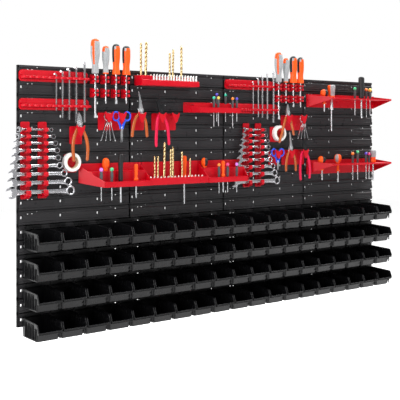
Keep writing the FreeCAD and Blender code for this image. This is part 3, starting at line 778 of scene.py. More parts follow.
def make_drills():
    for place, leans in DRILL_LEANS.items():
        node = "drill_bits_" + place
        sketch = Sketch()
        for solid, lean in zip(solids(node), leans):
            centre = (solid.low + solid.high) / 2
            radius = (solid.high.x - solid.low.x) / 2 + 0.6
            draw_drill(sketch, centre.x, centre.y, solid.low.z, solid.high.z, radius, lean)
        make_piece(sketch, node + "_set", "bits_" + place, [node], [GOLD, FLUTE])


# ---------------------------------------------------------------- shelves


def slanted(sketch, left, right, outline, soften):
    """An outline carried between two sides; each side is its x at the wall and at the front edge."""
    front_y = min(y for y, z in outline)
    sides = []
    for back_x, front_x in (left, right):
        side = []
        for y, z in outline:
            share = (y - WALL_FRONT) / (front_y - WALL_FRONT)
            side.append((back_x + (front_x - back_x) * share, y, z))
        sides.append(side)
    sketch.loft(sides, soften=soften)


def slanted_end(sketch, back_x, front_x, outline):
    """An end plate that runs slantwise from the wall to the shelf's front edge."""
    slanted(sketch, (back_x, front_x), (back_x + PLATE, front_x + PLATE), outline, 0.6)


# slant of the left and of the right end, y of the riser and of the front lip, drops of the two treads
STEP_SHELVES = {
    "step_shelf_middle": (24.0, 0.0, -50.0, -75.0, (5.0, 18.0)),
    "step_shelf_left": (56.0, 0.0, -42.0, -76.0, (25.0, 57.0)),
    "step_shelf_right": (0.0, 22.0, -42.0, -76.0, (25.0, 57.0)),
}
DEEP_SHELF = 50.0
SHELF_BOSS_PITCH = 18


def make_step_shelves():
    for node, (left_slant, right_slant, riser, front, drops) in STEP_SHELVES.items():
        low, high = node_box(node)
        sketch = Sketch()
        upper, lower = [high.z - drop for drop in drops]
        foot = low.z + (14.0 if high.z - low.z > DEEP_SHELF else 0.0)
        outline = [(WALL_FRONT, foot), (WALL_FRONT, high.z), (PLATE_FRONT, high.z), (PLATE_FRONT, upper),
                   (riser - PLATE, upper), (riser - PLATE, lower), (front, lower), (front, low.z),
                   (front + PLATE, low.z), (front + PLATE, lower - PLATE), (riser, lower - PLATE),
                   (riser, upper - PLATE), (PLATE_FRONT, upper - PLATE), (PLATE_FRONT, foot)]
        x0, x1 = low.x + 1.0, high.x - 1.0
        slanted(sketch, (x0, x0 + left_slant), (x1, x1 - right_slant), outline, 0.9)
        gusset = [(WALL_FRONT, foot), (WALL_FRONT, high.z - 8.0), (PLATE_FRONT, high.z - 8.0),
                  (front, lower + 1.0), (front, low.z)]
        slanted_end(sketch, low.x, low.x + left_slant, gusset)
        slanted_end(sketch, high.x - PLATE, high.x - PLATE - right_slant, gusset)
        span = high.x - low.x
        count = int(span // SHELF_BOSS_PITCH)
        for n in range(1, count):
            x = low.x + left_slant + (span - left_slant - right_slant) * n / count
            sketch.lathe((x, front - 0.6, lower - 1.5), [(0, 1.6), (1.5, 1.6)], axis=(0, 1, 0), sides=10)
        make_piece(sketch, node + "_moulding", "wall", [node], [RED])


LONG_SLANT = 48.0
SCALLOPS = 26


def make_long_shelves():
    for node in ("long_shelf_upper", "long_shelf_lower"):
        low, high = node_box(node)
        sketch = Sketch()
        plate_top = high.z - 15.0
        sketch.block(low.x, high.x, -15.5, WALL_FRONT, low.z, high.z, 0.8)
        start = low.x + LONG_SLANT + 2.0
        front = []
        for n in range(SCALLOPS * 4 + 1):
            x = start + (high.x - start) * n / (SCALLOPS * 4)
            front.append((x, low.y + 0.8 + 0.8 * math.cos(math.pi * n / 2)))
        plate = front + [(high.x, -14.0), (low.x, -14.0)]
        sketch.prism(plate, "z", plate_top - 4.0, plate_top, soften=0.7)
        gusset = [(WALL_FRONT, low.z), (WALL_FRONT, high.z - 2.0), (low.y + 2.0, plate_top + 2.0),
                  (low.y + 2.0, plate_top - 4.5)]
        slanted_end(sketch, low.x, low.x + LONG_SLANT, gusset)
        slanted_end(sketch, high.x - PLATE, high.x - PLATE, gusset)
        make_piece(sketch, node + "_moulding", "wall", [node], [RED])


# ---------------------------------------------------------------- racks and hooks

WRENCH_HEIGHTS = (198.0, 178.0, 157.5, 136.0, 114.0, 90.0, 65.5, 40.0, 12.0)
WRENCH_SIZES = (8.0, 9.0, 10.0, 11.0, 12.0, 13.0, 14.0, 17.0, 19.0)
BELOW_RACK = (-20.0, 8.0)
WRENCH_LIFT = 7.0


def shank_height(size):
    return 0.55 * size + 2.0


def draw_rack_hook(sketch, middle, z, size, next_z, next_size):
    """A hook under one shank; its belly leaves room to lift the wrench below."""
    under = z - shank_height(size) / 2 - 0.4
    room = under - next_z - shank_height(next_size) / 2 - WRENCH_LIFT - 1.2
    depth = min(11.0, room)
    reach = 6.5 + size * 0.25
    outline = [(-14.0, under - depth * 0.6), (-14.0, under - 0.4), (-37.5, under - 0.4),
               (-37.5, under + reach * 0.7), (-38.6, under + reach), (-41.0, under + reach),
               (-42.8, under + reach * 0.6)]
    for n in range(11):
        angle = math.radians(180 + 15 * n)
        outline.append((-27.0 + 16.0 * math.cos(angle), under + depth * math.sin(angle)))
    sketch.prism(outline, "x", middle - 7.0, middle + 7.0, soften=1.4, segments=3)


def make_racks():
    wrenches = list(zip(WRENCH_HEIGHTS, WRENCH_SIZES))
    below = wrenches[1:] + [BELOW_RACK]
    for side in ("left", "right"):
        node = "wrench_rack_" + side
        sketch = Sketch()
        for solid in solids(node):
            middle = (solid.low.x + solid.high.x) / 2
            strip = rounded(middle - 14.5, middle + 14.5, solid.low.z, solid.high.z, 4.0)
            sketch.prism(strip, "y", -16.0, WALL_FRONT, soften=1.0)
            for (z, size), (next_z, next_size) in zip(wrenches, below):
                draw_rack_hook(sketch, middle, z, size, next_z, next_size)
        make_piece(sketch, node + "_moulding", "wall", [node], [RED])


HOOK_TIP = -48.0


def draw_hook(sketch, x, top):
    """A hook with a wide horned shield at its front."""
    sketch.block(x - 2.4, x + 2.4, HOOK_TIP + 1.0, -13.0, top - 6.5, top - 1.6, 0.8)
    shield = [(-16.0, 3.0), (-12.5, 4.0), (-7.0, -2.0), (0.0, -3.8), (7.0, -2.0), (12.5, 4.0), (16.0, 3.0),
              (13.0, -9.0), (8.0, -20.0), (4.5, -28.0), (0.0, -31.0), (-4.5, -28.0), (-8.0, -20.0),
              (-13.0, -9.0)]
    sketch.prism([(x + a, top + b) for a, b in shield], "y", HOOK_TIP, HOOK_TIP + 3.2, soften=0.9)


HOOK_ARMS = {
    "left": ((-588.0, 207.0), (-487.0, 250.5), (-438.5, 250.5), (-364.0, 250.5), (-284.0, 250.5),
             (-230.0, 250.5)),
    "right": ((286.0, 250.5), (362.0, 250.5), (232.5, 121.0), (300.0, 121.0), (370.0, 121.0)),
}
PEG_X = {"left": -607.0, "right": 256.0}
PEG = 5.4
TAPE_BORE = 18.0


def make_hooks():
    for side, arms in HOOK_ARMS.items():
        node = "hooks_" + side
        sketch = Sketch()
        for solid in solids(node):
            plate = rounded(solid.low.x, solid.high.x, solid.high.z - 56.0, solid.high.z, 4.0)
            sketch.prism(plate, "y", -14.2, WALL_FRONT, soften=0.7)
        for x, top in arms:
            draw_hook(sketch, x, top)
        low, high = node_box("tape_roll_" + side)
        bore_top = (low.z + high.z) / 2 + TAPE_BORE
        peg = [(0, PEG), (2.0, 4.9), (19.0, 4.9), (20.0, 5.2), (21.0, 4.4)]
        sketch.lathe((PEG_X[side], -13.0, bore_top - PEG), peg, axis=(0, -1, 0), sides=20)
        make_piece(sketch, node + "_moulding", "wall", [node], [RED])


# ---------------------------------------------------------------- keys, screwdrivers and small drivers


SHORT_ARM_WAY = Vector((-0.75, -0.66, 0)).normalized()
SHORT_ARM = 16.0
BEND_STEPS = 6


def make_hex_keys():
    node = "hex_keys"
    sketch = Sketch()
    for solid in solids(node):
        rod = [p for p in solid.points if p.z < solid.low.z + 1.0]
        x = (min(p.x for p in rod) + max(p.x for p in rod)) / 2
        radius = (max(p.x for p in rod) - min(p.x for p in rod)) / 2
        y = (min(p.y for p in rod) + max(p.y for p in rod)) / 2
        top = solid.high.z - radius
        bend = radius * 2.0
        path = [Vector((x, y, solid.low.z)), Vector((x, y, top - bend))]
        for n in range(1, BEND_STEPS + 1):
            angle = math.pi / 2 * n / BEND_STEPS
            out = SHORT_ARM_WAY * bend * (1 - math.cos(angle))
            path.append(Vector((x, y, top - bend)) + out + Vector((0, 0, bend * math.sin(angle))))
        path.append(Vector((x, y, top)) + SHORT_ARM_WAY * SHORT_ARM)
        sketch.tube(path, radius * 1.08, sides=6, hint=SHORT_ARM_WAY.cross(Vector((0, 0, 1))))
    make_piece(sketch, "hex_key_set", "hex_keys", [node], [STEEL])


HANDLE_FORMS = {
    "waisted": ((0.0, 0.66), (0.02, 0.74), (0.08, 0.76), (0.18, 0.7), (0.26, 0.66), (0.38, 0.8),
                (0.54, 0.98), (0.7, 1.0), (0.86, 0.96), (0.94, 0.84), (0.98, 0.62), (1.0, 0.3)),
    "flared": ((0.0, 0.93), (0.02, 1.0), (0.08, 0.96), (0.18, 0.84), (0.3, 0.8), (0.44, 0.92),
               (0.6, 1.0), (0.82, 1.0), (0.92, 0.9), (0.98, 0.62), (1.0, 0.3)),
}


def paint_handle(part, x, y, foot, top, rule):
    """Colours a handle by a rule of the height share and the angle round its axis."""
    def chosen(centre, normal):
        angle = math.degrees(math.atan2(centre.y - y, centre.x - x))
        return rule((centre.z - foot) / (top - foot), angle)
    part.paint_faces(chosen)


def draw_handle(sketch, x, y, foot, top, radius, form, rule):
    """A moulded screwdriver handle with soft lobes; rule colours it by height share and angle."""
    stations = smooth_path([(h, r, 0) for h, r in HANDLE_FORMS[form]], 4)
    sides = 48
    part = Sketch()
    height = top - foot
    sections = []
    for station in stations:
        section = []
        for n in range(sides):
            angle = 2 * math.pi * n / sides
            lobe = 1 + 0.035 * math.cos(6 * angle) * math.sin(math.pi * min(1, max(0, station.x)))
            reach = radius * station.y * lobe
            section.append((x + reach * math.cos(angle), y + reach * math.sin(angle),
                            foot + height * station.x))
        sections.append(section)
    part.loft(sections)
    paint_handle(part, x, y, foot, top, rule)
    sketch.stamp(part)


def grey_rule(collar, stripe):
    """A grey handle with an orange cap, and an orange collar or stripe if it has one."""
    def rule(share, angle):
        turned = (angle + 360) % 360
        if share > 0.93 or (collar and share < 0.045):
            return 1
        if share > 0.78 and 165 < turned < 225:
            return 1
        if stripe and share > 0.26 and 205 < turned < 232:
            return 1
        return 0
    return rule


def two_tone_rule(share, angle):
    """An orange handle with a black cap that runs down one side round a light inlay."""
    turned = (angle + 360) % 360
    if 0.83 < share < 0.92 and 208 < turned < 240:
        return 0
    if share > 0.92 or (share > 0.42 and 130 < turned < 208):
        return 2
    return 1


def draw_round_blade(sketch, centre, low, length, radius):
    """A round shaft with a pointed tip."""
    profile = [(0, 0.3), (1.2, radius * 0.5), (6, radius * 0.95), (9, radius), (length + 4, radius)]
    sketch.lathe((centre.x, centre.y, low), profile, sides=16)


def draw_flat_blade(sketch, centre, low, length, radius):
    """A round shaft that widens and thins into a flat tip."""
    sketch.lathe((centre.x, centre.y, low + 12), [(0, radius), (length - 8, radius)], sides=16)
    wide, thin = radius * 1.35, 0.6
    levels = ((0, wide * 0.9, thin), (3, wide, thin * 1.3), (14, radius * 0.9, radius * 0.85))
    sections = []
    for along, w, t in levels:
        sections.append([(centre.x + a * w, centre.y + b * t, low + along)
                         for a, b in ((-1, -1), (1, -1), (1, 1), (-1, 1))])
    sketch.loft(sections)


# the four long screwdrivers of each set, from left to right
SCREWDRIVER_LOOKS = (
    ("waisted", grey_rule(False, True)),
    ("waisted", grey_rule(True, False)),
    ("flared", two_tone_rule),
    ("flared", two_tone_rule),
)


def make_screwdrivers():
    for side in ("left", "right"):
        handles = "screwdriver_handles_" + side
        sketch = Sketch()
        for solid, (form, rule) in zip(solids(handles), SCREWDRIVER_LOOKS):
            centre = (solid.low + solid.high) / 2
            radius = (solid.high.x - solid.low.x) / 2
            draw_handle(sketch, centre.x, centre.y, solid.low.z, solid.high.z, radius, form, rule)
        make_piece(sketch, handles + "_grips", "screwdrivers_" + side, [handles],
                   [GREY, ORANGE, BLACK])
        blades = "screwdriver_blades_" + side
        sketch = Sketch()
        for number, solid in enumerate(solids(blades)):
            centre = (solid.low + solid.high) / 2
            radius = (solid.high.x - solid.low.x) / 2
            draw_blade = draw_round_blade if number % 2 else draw_flat_blade
            draw_blade(sketch, centre, solid.low.z, solid.high.z - solid.low.z, radius)
        make_piece(sketch, blades + "_shafts", "screwdrivers_" + side, [blades], [STEEL])


def parts_of(solid):
    """Axis, tip, handle foot, handle top, handle radius and shaft radius of a small driver."""
    centre = (solid.low + solid.high) / 2
    radius = (solid.high.x - solid.low.x) / 2
    wide = [p.z for p in solid.points if math.hypot(p.x - centre.x, p.y - centre.y) > radius * 0.8]
    thin = [math.hypot(p.x - centre.x, p.y - centre.y) for p in solid.points if p.z < solid.low.z + 1.0]
    return centre.x, centre.y, solid.low.z, min(wide), solid.high.z, radius, max(thin)


def lobed(count, height):
    """A lathe shape with lobes round it; height is their share of the radius."""
    def shape(angle, along):
        return 1 + height * math.cos(count * angle)
    return shape


def draw_precision(sketch, solid, cap):
    """A small driver: steel shaft, knurled dark barrel and a round coloured cap."""
    x, y, tip, foot, top, radius, shaft = parts_of(solid)
    sketch.paint = 0
    blade = [(0, shaft * 0.35), (4, shaft * 0.9), (6, shaft), (foot - tip + 1, shaft)]
    sketch.lathe((x, y, tip), blade, sides=10)
    sketch.paint = 1
    stations = ((0.08, 0.82), (0.2, 0.7), (0.3, 0.86), (0.62, 0.86), (0.7, 0.6), (0.76, 0.6))
    barrel = [(0, radius * 0.55), (0.6, radius * 0.75)]
    barrel += [((top - foot) * height, radius * share) for height, share in stations]
    sketch.lathe((x, y, foot), barrel, sides=30, shape=lobed(10, 0.05))
    sketch.paint = cap
    ball = radius * 1.16
    steps = [math.pi * n / 8 for n in range(9)]
    round_cap = [(ball - ball * math.cos(step), ball * math.sin(step)) for step in steps]
    sketch.lathe((x, y, top - 2 * ball), round_cap, sides=20)
    sketch.paint = 0


PRECISION_CAPS = {
    "middle": ("teal", "yellow", "violet", "teal", "amber", "violet"),
    "centre": ("lilac", "green", "amber", "pink", "lilac"),
    "right": ("amber", "green", "green", "violet", "amber", "pink", "yellow"),
}


def make_precision_drivers():
    for place, names in PRECISION_CAPS.items():
        node = "precision_drivers_" + place
        used = sorted(set(names))
        sketch = Sketch()
        for solid, name in zip(solids(node), names):
            draw_precision(sketch, solid, 2 + used.index(name))
        make_piece(sketch, node + "_set", "small_drivers_" + place, [node],
                   [STEEL, DARK] + [CAPS[name] for name in used])


STUBBY_FORMS = {
    "ball": ((0.0, 0.5), (0.06, 0.62), (0.16, 0.6), (0.34, 0.92), (0.6, 1.0), (0.84, 0.86), (0.95, 0.55),
             (1.0, 0.2)),
    "straight": ((0.0, 0.7), (0.03, 0.86), (0.12, 0.9), (0.3, 0.84), (0.7, 0.98), (0.92, 1.0), (0.98, 0.8),
                 (1.0, 0.45)),
    "slim": ((0.0, 0.9), (0.04, 1.0), (0.12, 0.95), (0.2, 0.66), (0.45, 0.72), (0.8, 0.86), (0.95, 0.7),
             (1.0, 0.3)),
}


def draw_stubby(sketch, solid, form, rule, cone, collar):
    """A short driver; cone and collar are the lengths of a steel and an orange part under its handle."""
    x, y, tip, foot, top, radius, shaft = parts_of(solid)
    sketch.paint = 3
    blade = [(0, 0.5), (2, shaft * 0.7), (7, shaft), (foot - tip + 2, shaft)]
    sketch.lathe((x, y, tip), blade, sides=14)
    if cone:
        profile = [(0, shaft + 3.4), (2.5, shaft + 4.6), (7.0, shaft + 3.4), (cone, shaft + 1.2)]
        sketch.lathe((x, y, foot - cone), profile, sides=20)
    sketch.paint = 0
    if collar:
        profile = [(0, shaft + 0.6), (1.0, shaft + 4.6), (4.0, shaft + 5.2), (5.5, shaft + 2.2),
                   (collar, shaft + 0.8)]
        sketch.lathe((x, y, foot - collar), profile, sides=20)
    stations = smooth_path([(h, r, 0) for h, r in STUBBY_FORMS[form]], 3)
    part = Sketch()
    profile = [((top - foot) * s.x, radius * s.y) for s in stations]
    part.lathe((x, y, foot), profile, sides=40, shape=lobed(8, 0.03))
    paint_handle(part, x, y, foot, top, rule)
    sketch.stamp(part)


def plain(colour):
    return lambda share, angle: colour


def capped(body, cap, limit):
    return lambda share, angle: cap if share > limit else body


def halved(first, second, start, end):
    return lambda share, angle: second if start < angle < end and share > 0.15 else first


IN_ORANGE, IN_BLACK, IN_GREY = 0, 1, 2
BLACK_BACKED = halved(IN_ORANGE, IN_BLACK, -115, 120)

# form, colours, length of the steel cone and of the orange collar, from left to right
STUBBY_LOOKS = {
    "centre": (
        ("ball", plain(IN_ORANGE), 0, 0),
        ("straight", plain(IN_BLACK), 0, 0),
        ("slim", plain(IN_ORANGE), 0, 0),
        ("straight", halved(IN_ORANGE, IN_GREY, 30, 150), 0, 0),
        ("ball", BLACK_BACKED, 0, 0),
        ("slim", plain(IN_ORANGE), 0, 0),
    ),
    "right": (
        ("ball", BLACK_BACKED, 0, 24),
        ("ball", BLACK_BACKED, 0, 24),
        ("straight", halved(IN_ORANGE, IN_GREY, -150, 60), 44, 0),
        ("ball", halved(IN_ORANGE, IN_GREY, -180, -128), 0, 30),
        ("straight", plain(IN_BLACK), 0, 0),
        ("straight", capped(IN_ORANGE, IN_GREY, 0.4), 0, 0),
    ),
}


def make_stubby_drivers():
    for place, looks in STUBBY_LOOKS.items():
        node = "stubby_drivers_" + place
        sketch = Sketch()
        for solid, look in zip(solids(node), looks):
            draw_stubby(sketch, solid, *look)
        make_piece(sketch, node + "_set", "small_drivers_" + place, [node],
                   [ORANGE, BLACK, GREY, STEEL])


# ---------------------------------------------------------------- wrenches

WRENCH_Y = -32.0
JAW_WAY = 195.0
RING_DROP = 1.5
RING_STEPS = 28


def eye_radius(size):
    """The outer radius of a wrench's ring in the CAD."""
    return size * 0.72 + 1.0


def draw_open_jaw(sketch, cx, z, size, jaw):
    """The open end: a disc with a mouth that looks left and slightly down."""
    mouth = size * 0.5
    bite = math.degrees(math.asin(mouth / jaw))
    outline = arc(cx, z, jaw, JAW_WAY + bite, JAW_WAY + 360.0 - bite, 26)
    way = math.radians(JAW_WAY)
    along = Vector((math.cos(way), math.sin(way)))
    side = Vector((-along.y, along.x))
    for share in (1.0, 0.7, 0.0, -0.7, -1.0):
        depth = jaw * 0.1 - mouth * 0.35 * (1 - abs(share))
        point = Vector((cx, z)) + side * -mouth * share + along * depth
        outline.append((point.x, point.y))
    sketch.prism(outline, "y", WRENCH_Y - 2.4, WRENCH_Y + 2.4, soften=0.7)


def draw_ring(sketch, ring, ring_z, outer, wall):
    """The ring end, with bevelled edges."""
    rim = ((-1, -0.7), (-0.6, -1), (0.6, -1), (1, -0.7), (1, 0.7), (0.6, 1), (-0.6, 1), (-1, 0.7))
    sections = []
    for n in range(RING_STEPS):
        angle = 2 * math.pi * n / RING_STEPS
        u = Vector((math.cos(angle), 0, math.sin(angle)))
        centre = Vector((ring, WRENCH_Y, ring_z)) + u * (outer - wall / 2)
        sections.append([centre + u * a * wall / 2 + Vector((0, b * 3.2, 0)) for a, b in rim])
    sketch.loft(sections, loop=True)


def draw_shank(sketch, start, end, height):
    """The bar between two (x, z) ends, with a long hollow on either face."""
    rim = ((-1, -0.45), (-0.6, -1), (-0.45, -0.55), (0.45, -0.55), (0.6, -1), (1, -0.45), (1, 0.45),
           (0.6, 1), (0.45, 0.55), (-0.45, 0.55), (-0.6, 1), (-1, 0.45))
    sections = []
    for share, scale in ((0.0, 1.35), (0.12, 1.0), (0.5, 0.92), (0.88, 1.0), (1.0, 1.2)):
        x = start[0] + (end[0] - start[0]) * share
        z = start[1] + (end[1] - start[1]) * share
        sections.append([(x, WRENCH_Y + b * 2.2, z + a * height / 2 * scale) for a, b in rim])
    sketch.loft(sections)


def draw_wrench(sketch, z, size, tip, ring):
    """A combination wrench: open jaw to the left, ring to the right."""
    jaw = size * 0.92 + 1.0
    cx = tip + jaw
    outer = eye_radius(size) + 0.2
    wall = max(2.9, size * 0.3)
    draw_open_jaw(sketch, cx, z, size, jaw)
    draw_ring(sketch, ring, z - RING_DROP, outer, wall)
    start = (cx + jaw * 0.75, z)
    end = (ring - outer + wall * 0.6, z - RING_DROP)
    draw_shank(sketch, start, end, shank_height(size))


def make_wrenches():
    for side in ("left", "right"):
        node = "wrenches_" + side
        sketch = Sketch()
        ordered = sorted(solids(node), key=lambda s: -s.high.z)
        for solid, z, size in zip(ordered, WRENCH_HEIGHTS, WRENCH_SIZES):
            ring = solid.high.x - eye_radius(size)
            draw_wrench(sketch, z, size, solid.low.x, ring)
        make_piece(sketch, node + "_set", node, [node], [WRENCH_STEEL])


# ---------------------------------------------------------------- pliers and scissors

PLIERS_BACK = -36.0
PLIERS_FRONT = -40.2


def draw_grip(sketch, pivot, line, y, wide=5.2, deep=4.2):
    path = smooth_path([(pivot.x + a, y, pivot.z + b) for a, b in line], 16)
    count = len(path)
    radii = []
    for n in range(count):
        share = n / (count - 1)
        left = min(1.0, (1 - share) / 0.055)
        end = max(0.3, math.sqrt(1 - (1 - left) ** 2))
        start = min(1.0, share * 12 + 0.75)
        radii.append(wide * end * start * (0.92 + 0.12 * math.sin(math.pi * share)))
    sketch.tube(path, radii, sides=16, flat=deep / wide, hint=(0, 1, 0))


def draw_head(sketch, pivot, outline, y, thick=3.6, soften=0.9):
    sketch.prism([(pivot.x + a, pivot.z + b) for a, b in outline], "y", y - thick / 2, y + thick / 2,
                 soften=soften)


def mirrored(points):
    return [(-a, b) for a, b in points]


# the right-hand jaw of each kind, from the pivot, as (across, up)
CUTTER_JAW = [(-5.0, -6.0), (7.5, -7.0), (10.0, 0.0), (10.5, 9.0), (9.0, 19.0), (5.5, 27.0), (1.2, 33.0),
              (0.2, 33.0), (0.2, 6.0), (-5.0, 4.0)]
NOSE_JAW = [(-5.0, -6.0), (7.0, -7.0), (9.5, 0.0), (8.5, 10.0), (6.0, 22.0), (4.8, 40.0), (3.4, 57.0),
            (2.2, 60.0), (0.2, 60.0), (0.2, 10.0), (-5.0, 5.0)]
COMBI_JAW = [(-6.0, -7.0), (9.0, -8.0), (12.5, 0.0), (12.0, 12.0), (8.5, 25.0), (6.0, 31.0), (0.4, 31.0),
             (0.4, 8.0), (-6.0, 5.0)]
PUMP_JAW_LOW = [(-8.0, -9.0), (8.0, -9.0), (8.0, 6.0), (12.0, 13.0), (19.0, 20.0), (18.0, 25.0),
                (14.0, 24.5), (11.0, 22.0), (7.0, 22.5), (3.0, 19.5), (-4.0, 18.0), (-9.0, 8.0)]
PUMP_JAW_HIGH = [(-8.0, -9.0), (8.0, -9.0), (5.0, 4.0), (-5.0, 15.0), (-8.0, 25.0), (-3.0, 31.0),
                 (2.0, 31.5), (4.0, 33.5), (8.0, 33.0), (10.0, 35.0), (14.0, 35.0), (14.5, 39.0),
                 (7.0, 42.0), (-6.0, 41.0), (-16.0, 36.0), (-20.0, 26.0), (-16.0, 13.0), (-10.0, 0.0)]

# grips from the pivot as (across, up); the nose leans by degrees and curves left by millimetres
PLIERS = {
    "side_cutters_left": {
        "left": ((-5, -14), (-12, -28), (-19, -48), (-22, -74), (-20, -98), (-18, -119)),
        "right": ((6, -14), (14, -28), (22, -46), (27, -72), (27, -96), (25, -117)),
        "jaw": CUTTER_JAW, "lean": -4.0, "curve": 0.0, "grip": "copper", "metal": "bright"},
    "long_nose_left": {
        "left": ((-5, -12), (-15, -22), (-23, -38), (-28, -58), (-31, -76), (-32, -88)),
        "right": ((5, -12), (11, -22), (17, -38), (20, -58), (22, -76), (23, -88)),
        "jaw": NOSE_JAW, "lean": 0.0, "curve": 9.0, "grip": "copper", "metal": "bright"},
    "water_pump_pliers": {
        "left": ((-6, -14), (-13, -30), (-16, -52), (-18, -80), (-19, -104), (-18, -121)),
        "right": ((6, -14), (13, -28), (22, -48), (27, -74), (29, -98), (30, -115)),
        "jaw": None, "lean": 0.0, "curve": 0.0, "grip": "crimson", "metal": "black"},
    "side_cutters_right": {
        "left": ((-5, -14), (-13, -30), (-21, -54), (-30, -80), (-43, -112)),
        "right": ((6, -14), (11, -26), (16, -44), (22, -62), (28, -84)),
        "jaw": CUTTER_JAW, "lean": -3.0, "curve": 0.0, "grip": "copper", "metal": "bright"},
    "long_nose_right": {
        "left": ((-5, -14), (-14, -28), (-19, -46), (-22, -66), (-22, -88)),
        "right": ((6, -14), (14, -28), (20, -46), (23, -66), (24, -88)),
        "jaw": NOSE_JAW, "lean": 0.0, "curve": 5.0, "grip": "copper", "metal": "bright"},
    "combination_pliers": {
        "left": ((-6, -14), (-13, -28), (-18, -54), (-20, -84), (-18, -112), (-16, -123)),
        "right": ((6, -14), (14, -28), (22, -50), (27, -80), (26, -106), (24, -118)),
        "jaw": COMBI_JAW, "lean": 0.0, "curve": 0.0, "grip": "crimson", "metal": "black"},
}


def draw_pliers_half(sketch, name, hand, paint_grip, paint_metal):
    """hand is left for the half on the hook and right for the half that turns."""
    plan = PLIERS[name]
    pivot = pivot_of(name + "_pivot")
    y = PLIERS_BACK if hand == "left" else PLIERS_FRONT
    sketch.paint = paint_grip
    draw_grip(sketch, pivot, plan[hand], y)
    sketch.paint = paint_metal
    if plan["jaw"] is None:
        outline = PUMP_JAW_LOW if hand == "left" else PUMP_JAW_HIGH
    elif hand == "left":
        outline = plan["jaw"]
    else:
        outline = mirrored(plan["jaw"])
    lean = math.radians(plan["lean"])
    turned = []
    for a, b in outline:
        a -= plan["curve"] * (max(0.0, b) / 60.0) ** 2
        turned.append((a * math.cos(lean) + b * math.sin(lean), b * math.cos(lean) - a * math.sin(lean)))
    draw_head(sketch, pivot, turned, y)
    hub = [(0, 8.6), (0.6, 9.2), (3.4, 9.2), (4.0, 8.6)]
    sketch.lathe((pivot.x, y + 2.0, pivot.z), hub, axis=(0, -1, 0), sides=28)
    side = -1 if hand == "left" else 1
    shank = [(side * 2.0, -3.0), plan[hand][0], plan[hand][1]]
    path = [(pivot.x + a, y, pivot.z + b) for a, b in shank]
    sketch.tube(smooth_path(path, 5), 4.6, sides=14, flat=0.42)
    if hand == "right":
        dome = [(0, 4.6), (0.8, 4.4), (1.4, 3.2), (1.6, 0.0)]
        sketch.lathe((pivot.x, y - 1.9, pivot.z), dome, axis=(0, -1, 0), sides=20)


def make_pliers():
    fixed = Sketch()
    paints = [COPPER, CRIMSON, STEEL, DARK_STEEL]
    for name, plan in PLIERS.items():
        grip = 0 if plan["grip"] == "copper" else 1
        metal = 2 if plan["metal"] == "bright" else 3
        draw_pliers_half(fixed, name, "left", grip, metal)
        moving = Sketch()
        draw_pliers_half(moving, name, "right", grip, metal)
        node = name + "_moving_half"
        make_piece(moving, name + "_turning_half", node, [node], paints)
    make_piece(fixed, "pliers_hanging_halves", "wall", ["pliers_fixed_halves"], paints)


# each pair: how far its rings stand out and above the pivot, its blade tip and its ring size
SCISSORS = {"scissors_left": (19.5, 36.0, -48.0, 15.0), "scissors_right": (17.5, 32.0, -33.0, 14.0)}
SCISSORS_BACK = -39.6
SCISSORS_FRONT = -42.8


def draw_scissors_half(sketch, name, hand):
    spread, rise, tip, ring = SCISSORS[name]
    pivot = pivot_of(name + "_pivot")
    side = -1 if hand == "left" else 1
    y = SCISSORS_BACK if hand == "left" else SCISSORS_FRONT
    centre = Vector((pivot.x + side * spread, y, pivot.z + rise))
    loop = []
    for n in range(28):
        angle = 2 * math.pi * n / 28
        loop.append(centre + Vector((math.cos(angle) * (ring - 3.0), 0, math.sin(angle) * (ring - 1.0))))
    sketch.paint = 0
    sketch.tube(loop, 2.7, sides=12, loop=True, flat=0.9)
    stem = [(side * spread * 0.62, rise - ring), (side * spread * 0.4, rise - ring - 8), (side * 4.0, 6.0),
            (side * 2.0, -4.0)]
    path = smooth_path([(pivot.x + a, y, pivot.z + b) for a, b in stem], 5)
    sketch.tube(path, [3.6] * 4 + [4.0] * 4 + [4.6] * (len(path) - 8), sides=12, flat=0.5)
    sketch.paint = 1
    blade = [(side * 5.0, 8.0), (side * 5.6, -4.0), (side * -1.0, tip * 0.55), (side * -3.2, tip),
             (side * -4.0, tip + 1.0), (side * -5.4, tip * 0.4), (side * -3.4, 2.0)]
    draw_head(sketch, pivot, blade, y, thick=1.5, soften=0.3)
    if hand == "right":
        sketch.lathe((pivot.x, y - 0.7, pivot.z), [(0, 3.4), (0.7, 3.2), (1.3, 1.6), (1.4, 0.0)],
                     axis=(0, -1, 0), sides=16)


def make_scissors():
    fixed = Sketch()
    for name in SCISSORS:
        draw_scissors_half(fixed, name, "left")
        moving = Sketch()
        draw_scissors_half(moving, name, "right")
        node = name + "_moving_half"
        make_piece(moving, name + "_turning_half", node, [node], [BLUE, STEEL])
    make_piece(fixed, "scissors_hanging_halves", "wall", ["scissors_fixed_halves"],
               [BLUE, STEEL])


# ---------------------------------------------------------------- tape rolls and key bunches


def make_tapes():
    for side in ("left", "right"):
        node = "tape_roll_" + side
        low, high = node_box(node)
        middle = (low + high) / 2
        outer = (high.x - low.x) / 2
        width = high.y - low.y
        sketch = Sketch()
        start = (middle.x, low.y, middle.z)
        bore = TAPE_BORE
        ring = [(0.4, bore + 2.0), (0.0, bore + 2.6), (0.0, outer - 0.8), (0.7, outer),
                (width - 0.7, outer), (width, outer - 0.8), (width, bore + 2.6), (width - 0.4, bore + 2.0)]
        sketch.lathe(start, ring, axis=(0, 1, 0), sides=72, loop=True)
        sketch.paint = 1
        core = [(0.5, bore), (0.1, bore + 0.4), (0.1, bore + 2.0), (width - 0.1, bore + 2.0),
                (width - 0.1, bore + 0.4), (width - 0.5, bore)]
        sketch.lathe(start, core, axis=(0, 1, 0), sides=56, loop=True)
        make_piece(sketch, node + "_wound", node, [node], [TAPE, CORE])


